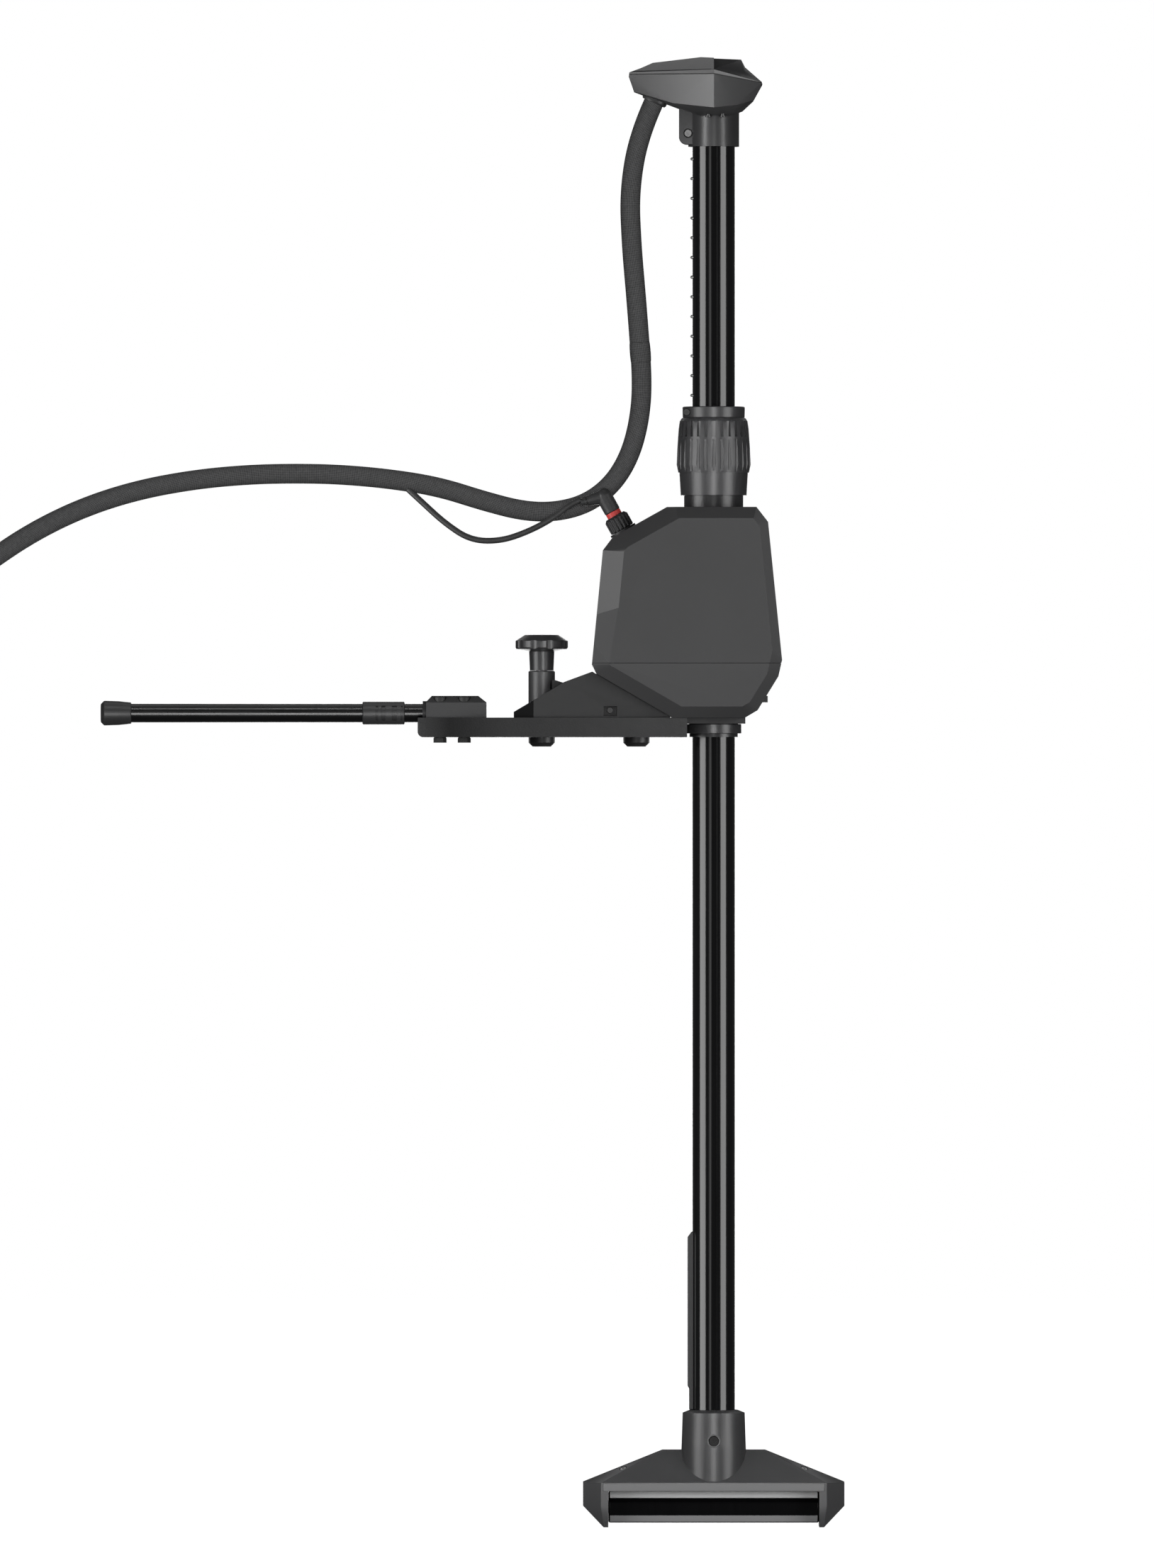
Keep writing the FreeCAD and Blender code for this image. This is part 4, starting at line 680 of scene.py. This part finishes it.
HOSE_R = 0.0089
LEAD_R = 0.0027
HOSE_Y = 0.015
COIL_X = -0.700
COIL_Y = 0.055
COIL_R = 0.100
COIL_TURNS = 2.75
COIL_PITCH = 0.0184
TAIL = 0.062
UPPER_ROUTE = [(0.0584, 0, 0.571), (0.0445, 0.0005, 0.541), (0.0355, 0.0015, 0.490),
               (0.0375, 0.003, 0.440), (0.042, 0.005, 0.390), (0.0453, 0.0065, 0.345)]
LOWER_ROUTE = [(0.0453, 0.0065, 0.345), (0.04728, 0.0074, 0.318), (0.0446, 0.0095, 0.284),
               (0.0362, 0.0115, 0.2525), (0.0208, 0.0135, 0.227), (-0.002, HOSE_Y, 0.2095),
               (-0.0295, 0.0155, 0.202), (-0.059, HOSE_Y, 0.2025), (-0.094, 0.0155, 0.2115),
               (-0.135, HOSE_Y, 0.2245), (-0.178, 0.0155, 0.2315), (-0.222, HOSE_Y, 0.2355),
               (-0.262, 0.0145, 0.2365), (-0.306, 0.0125, 0.2355), (-0.354, 0.0075, 0.231),
               (-0.405, -0.001, 0.2215), (-0.453, -0.0105, 0.206), (-0.498, -0.020, 0.184),
               (-0.539, -0.028, 0.1565), (-0.577, -0.0345, 0.1265), (-0.614, -0.0395, 0.099),
               (-0.654, -0.0435, 0.077), (-0.694, -0.045, 0.065)]
LEAD_ROUTE_END = [(-0.032, -0.008, 0.1965), (-0.054, -0.007, 0.1845), (-0.080, -0.005, 0.1755),
                  (-0.107, -0.001, 0.1765), (-0.130, 0.0035, 0.192), (-0.149, 0.0075, 0.2095),
                  (-0.163, 0.0105, 0.2225)]


def coil_points():
    """The put-away turns, from the top one down to the tail that meets the plug's boot."""
    per_turn = 16
    centre = Vector((COIL_X, COIL_Y, 0))
    count = round(COIL_TURNS * per_turn)
    reach = COIL_R / math.cos(math.pi / per_turn)
    foot = HOSE_R + 0.0004
    points = []
    for i in range(1, count + 1):
        turn = math.radians(-90) - math.tau * i / per_turn
        height = foot + COIL_PITCH * (count - i) / per_turn
        wide = reach + 0.0012 * math.sin(2.3 * turn)
        points.append((centre.x + wide * math.cos(turn), centre.y + wide * math.sin(turn), height))
    leave = Vector((centre.x + COIL_R, centre.y, foot))
    points.append(tuple(leave + Vector((0, -0.5 * TAIL, 0))))
    points.append(tuple(leave + Vector((0, -TAIL, 0))))
    return points


def make_cuff(materials):
    """The braided sleeve that joins the hose's two stretches, tied to the column's side."""
    middle = Vector(UPPER_ROUTE[-1])
    along = (Vector(UPPER_ROUTE[-2]) - middle).normalized()
    half = 0.009
    steps = 12
    crown = 0.0005
    line = [middle + along * half * (2 * i / steps - 1) for i in range(steps + 1)]

    def width(share):
        return HOSE_R + crown * math.sin(math.pi * share) ** 0.5

    piece = swept("braided_cuff", line, width, materials["braid"])
    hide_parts("hose_band")
    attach(piece, "steering_column")
    return piece


def turns_height(turns, centre, out):
    """How high the coil's turns reach on one side of it."""
    beside = []
    for point in turns:
        towards = (Vector(point) - centre).to_2d().normalized()
        if towards.dot(out.to_2d()) > 0.9:
            beside.append(point[2])
    return max(beside) + HOSE_R


def strap_ring(centre, out, top):
    """A flat band with round corners round the coil's section on one side, as a bmesh."""
    width = 0.016
    thick = 0.0011
    corner = 0.0088
    slack = 0.0006
    side = Vector((-out.y, out.x, 0))
    near = COIL_R - HOSE_R - slack + corner
    far = COIL_R + HOSE_R + 3 * slack - corner
    low = corner + 0.0002
    high = top - corner + 0.0004
    steps = 8
    bm = bmesh.new()
    loops = []
    # the middle of each round corner, and the angle it starts at
    turnings = ((far, high, 0), (near, high, 90), (near, low, 180), (far, low, 270))
    for reach, height, start in turnings:
        for step in range(steps + 1):
            turn = math.radians(start + 90 * step / steps)
            ring = []
            for across, depth in ((-1, 0), (1, 0), (1, 1), (-1, 1)):
                r = corner - thick * depth
                spot = centre + out * (reach + r * math.cos(turn)) + side * (across * width / 2)
                ring.append(bm.verts.new(spot + Vector((0, 0, height + r * math.sin(turn)))))
            loops.append(ring)
    for ring, after in zip(loops, loops[1:] + loops[:1]):
        for k in range(4):
            bm.faces.new((ring[k], ring[(k + 1) % 4], after[(k + 1) % 4], after[k]))
    bmesh.ops.recalc_face_normals(bm, faces=bm.faces)
    return bm


def keep_flats_flat(piece):
    """Shade by face area, so that a strip's broad faces look flat."""
    shade = piece.modifiers.new("shade", "WEIGHTED_NORMAL")
    shade.keep_sharp = True


def make_ties(materials):
    """Two hook-and-loop straps round the coiled bundle."""
    turns = coil_points()[:-2]
    centre = Vector((COIL_X, COIL_Y, 0))
    for number, degrees in enumerate((40, 220), start=1):
        azimuth = math.radians(degrees)
        out = Vector((math.cos(azimuth), math.sin(azimuth), 0))
        bm = strap_ring(centre, out, turns_height(turns, centre, out))
        strap = mesh_piece(f"coil_strap_{number}", bm, materials["strap"])
        keep_flats_flat(strap)
        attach(strap, "base")


def flat_strip(name, x_range, z_range, y, sign, thick, material):
    """A slim strip in the XZ plane with softened edges, its face towards sign along Y."""
    bm = bmesh.new()
    edge = 0.0004
    rings = []
    for depth, inset in ((-thick, 0.0), (-edge / 2, 0.0), (0.0, edge)):
        left, right = x_range[0] + inset, x_range[1] - inset
        bottom, top = z_range[0] + inset, z_range[1] - inset
        corners = ((left, bottom), (right, bottom), (right, top), (left, top))
        rings.append([bm.verts.new((x, y + sign * depth, z)) for x, z in corners])
    for ring, after in zip(rings, rings[1:]):
        for k in range(4):
            bm.faces.new((ring[k], ring[(k + 1) % 4], after[(k + 1) % 4], after[k]))
    bm.faces.new(rings[0])
    bm.faces.new(rings[-1])
    bmesh.ops.recalc_face_normals(bm, faces=bm.faces)
    strip = mesh_piece(name, bm, material)
    keep_flats_flat(strip)
    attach(strip, "mast")
    return strip


# the light grey strips on the window's round front, which are painted reflections of the lamps
# above and below on its glossy face: name, lowest and highest angle up it, and material
WINDOW_REFLECTIONS = (("window_painted_reflection_top", 36, 88, "painted_reflection_top_grey"), ("window_painted_reflection_low", -66, -31, "painted_reflection_low_grey"))


def make_rail_trims_and_window_reflections(materials):
    """Light strips on the bar's front and back: a satin strip on the rail, and round the window
    grey strips that are painted reflections on its glossy face.
    """
    bar_low, bar_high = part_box("bar_housing")
    low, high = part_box("array_window")
    radius = (high.z - low.z) / 2
    middle = (low + high) / 2
    inset = 0.0014
    beyond = 0.0045
    window_x = (low.x + inset, high.x - inset)
    rail_x = (low.x - beyond, high.x + beyond)
    for side, sign, face in (("front", -1, bar_low.y), ("back", 1, bar_high.y)):
        rail = flat_strip(f"rail_trim_{side}", rail_x, (high.z + 0.0007, high.z + 0.0073),
                          face + sign * 0.00045, sign, 0.0009, materials["rail_grey"])
        # round the window: light grey strips that are painted reflections of the lamps on the
        # glossy window
        for name, start, end, look in WINDOW_REFLECTIONS:
            near = min(abs(start), abs(end))
            y = middle.y + sign * (radius * math.cos(math.radians(near)) + 0.0008)
            z_range = [middle.z + radius * math.sin(math.radians(lift)) for lift in (start, end)]
            material = materials[look]
            strip = flat_strip(f"{name}_{side}", window_x, z_range, y, sign, 0.0007, material)


def make_hose(materials):
    upper = even_line(nurbs_line(UPPER_ROUTE), 0.003)
    piece = swept("braided_hose_upper", upper, HOSE_R, materials["braid"])
    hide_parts("hose_upper")
    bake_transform(piece)
    make_cuff(materials)

    lower = even_line(nurbs_line(LOWER_ROUTE + coil_points()), 0.003)
    piece = swept("braided_hose_lower", lower, HOSE_R, materials["braid"])
    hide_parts("hose_lower", "hose_coil")
    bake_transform(piece)


def make_lead(materials):
    low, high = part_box("lead_relief")
    start = Vector((low.x + 0.0009, (low.y + high.y) / 2, high.z - 0.0042))
    second = start + Vector((-0.0085, 0, -0.003))
    line = even_line(nurbs_line([tuple(start), tuple(second)] + LEAD_ROUTE_END), 0.0015)
    piece = swept("plug_lead_cable", line, LEAD_R, materials["cord_rubber"], sides=20)
    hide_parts("plug_lead")
    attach(piece, "base")


def make_spring(materials):
    """The lock pin's spring: a copy of the CAD spring in spring steel, fixed to the base; here it
    keeps its length when the knob is pulled.
    """
    piece = bpy.data.objects.new("lock_coil", NODES["lock_spring"].data.copy())
    piece.data.materials.clear()
    piece.data.materials.append(materials["spring_steel"])
    bpy.context.scene.collection.objects.link(piece)
    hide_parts("lock_spring")
    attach(piece, "base")
    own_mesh(piece)


# ---- stage ----

def stage_piece(name, bm, material):
    piece = mesh_piece(name, bm, material)
    return piece


def make_stage():
    """A pale floor, and a stand under the coil with its top just below the deck's level."""
    bm = bmesh.new()
    bmesh.ops.create_circle(bm, cap_ends=True, radius=14.0, segments=64)
    bmesh.ops.translate(bm, verts=bm.verts, vec=(AXIS_X, 0, FLOOR_Z))
    floor = stage_piece("floor", bm, pale("floor_paint", (0.86, 0.86, 0.86), 1.0))
    floor.visible_diffuse = False
    floor.visible_glossy = False
    top = rounded_slab((-0.826, -0.567), (-0.110, 0.182), (DECK_Z - 0.0125, DECK_Z - 0.0003), 0.03)
    stand = pale("stand_paint", (0.8, 0.8, 0.8), 0.15)
    stage_piece("coil_shelf", top, stand)
    post_top = DECK_Z - 0.012 - FLOOR_Z
    foot = [(0, 0), (0.11, 0), (0.11, 0.008), (0.014, 0.014), (0.011, 0.03),
            (0.011, post_top), (0, post_top)]
    stage_piece("coil_shelf_post", lathe(foot, 48, (COIL_X, COIL_Y, FLOOR_Z)), stand)


make_camera()
make_world()
materials = make_materials()
finish_nodes(materials)
make_hose(materials)
make_lead(materials)
make_ties(materials)
make_rail_trims_and_window_reflections(materials)
make_spring(materials)
make_lights()
make_stage()
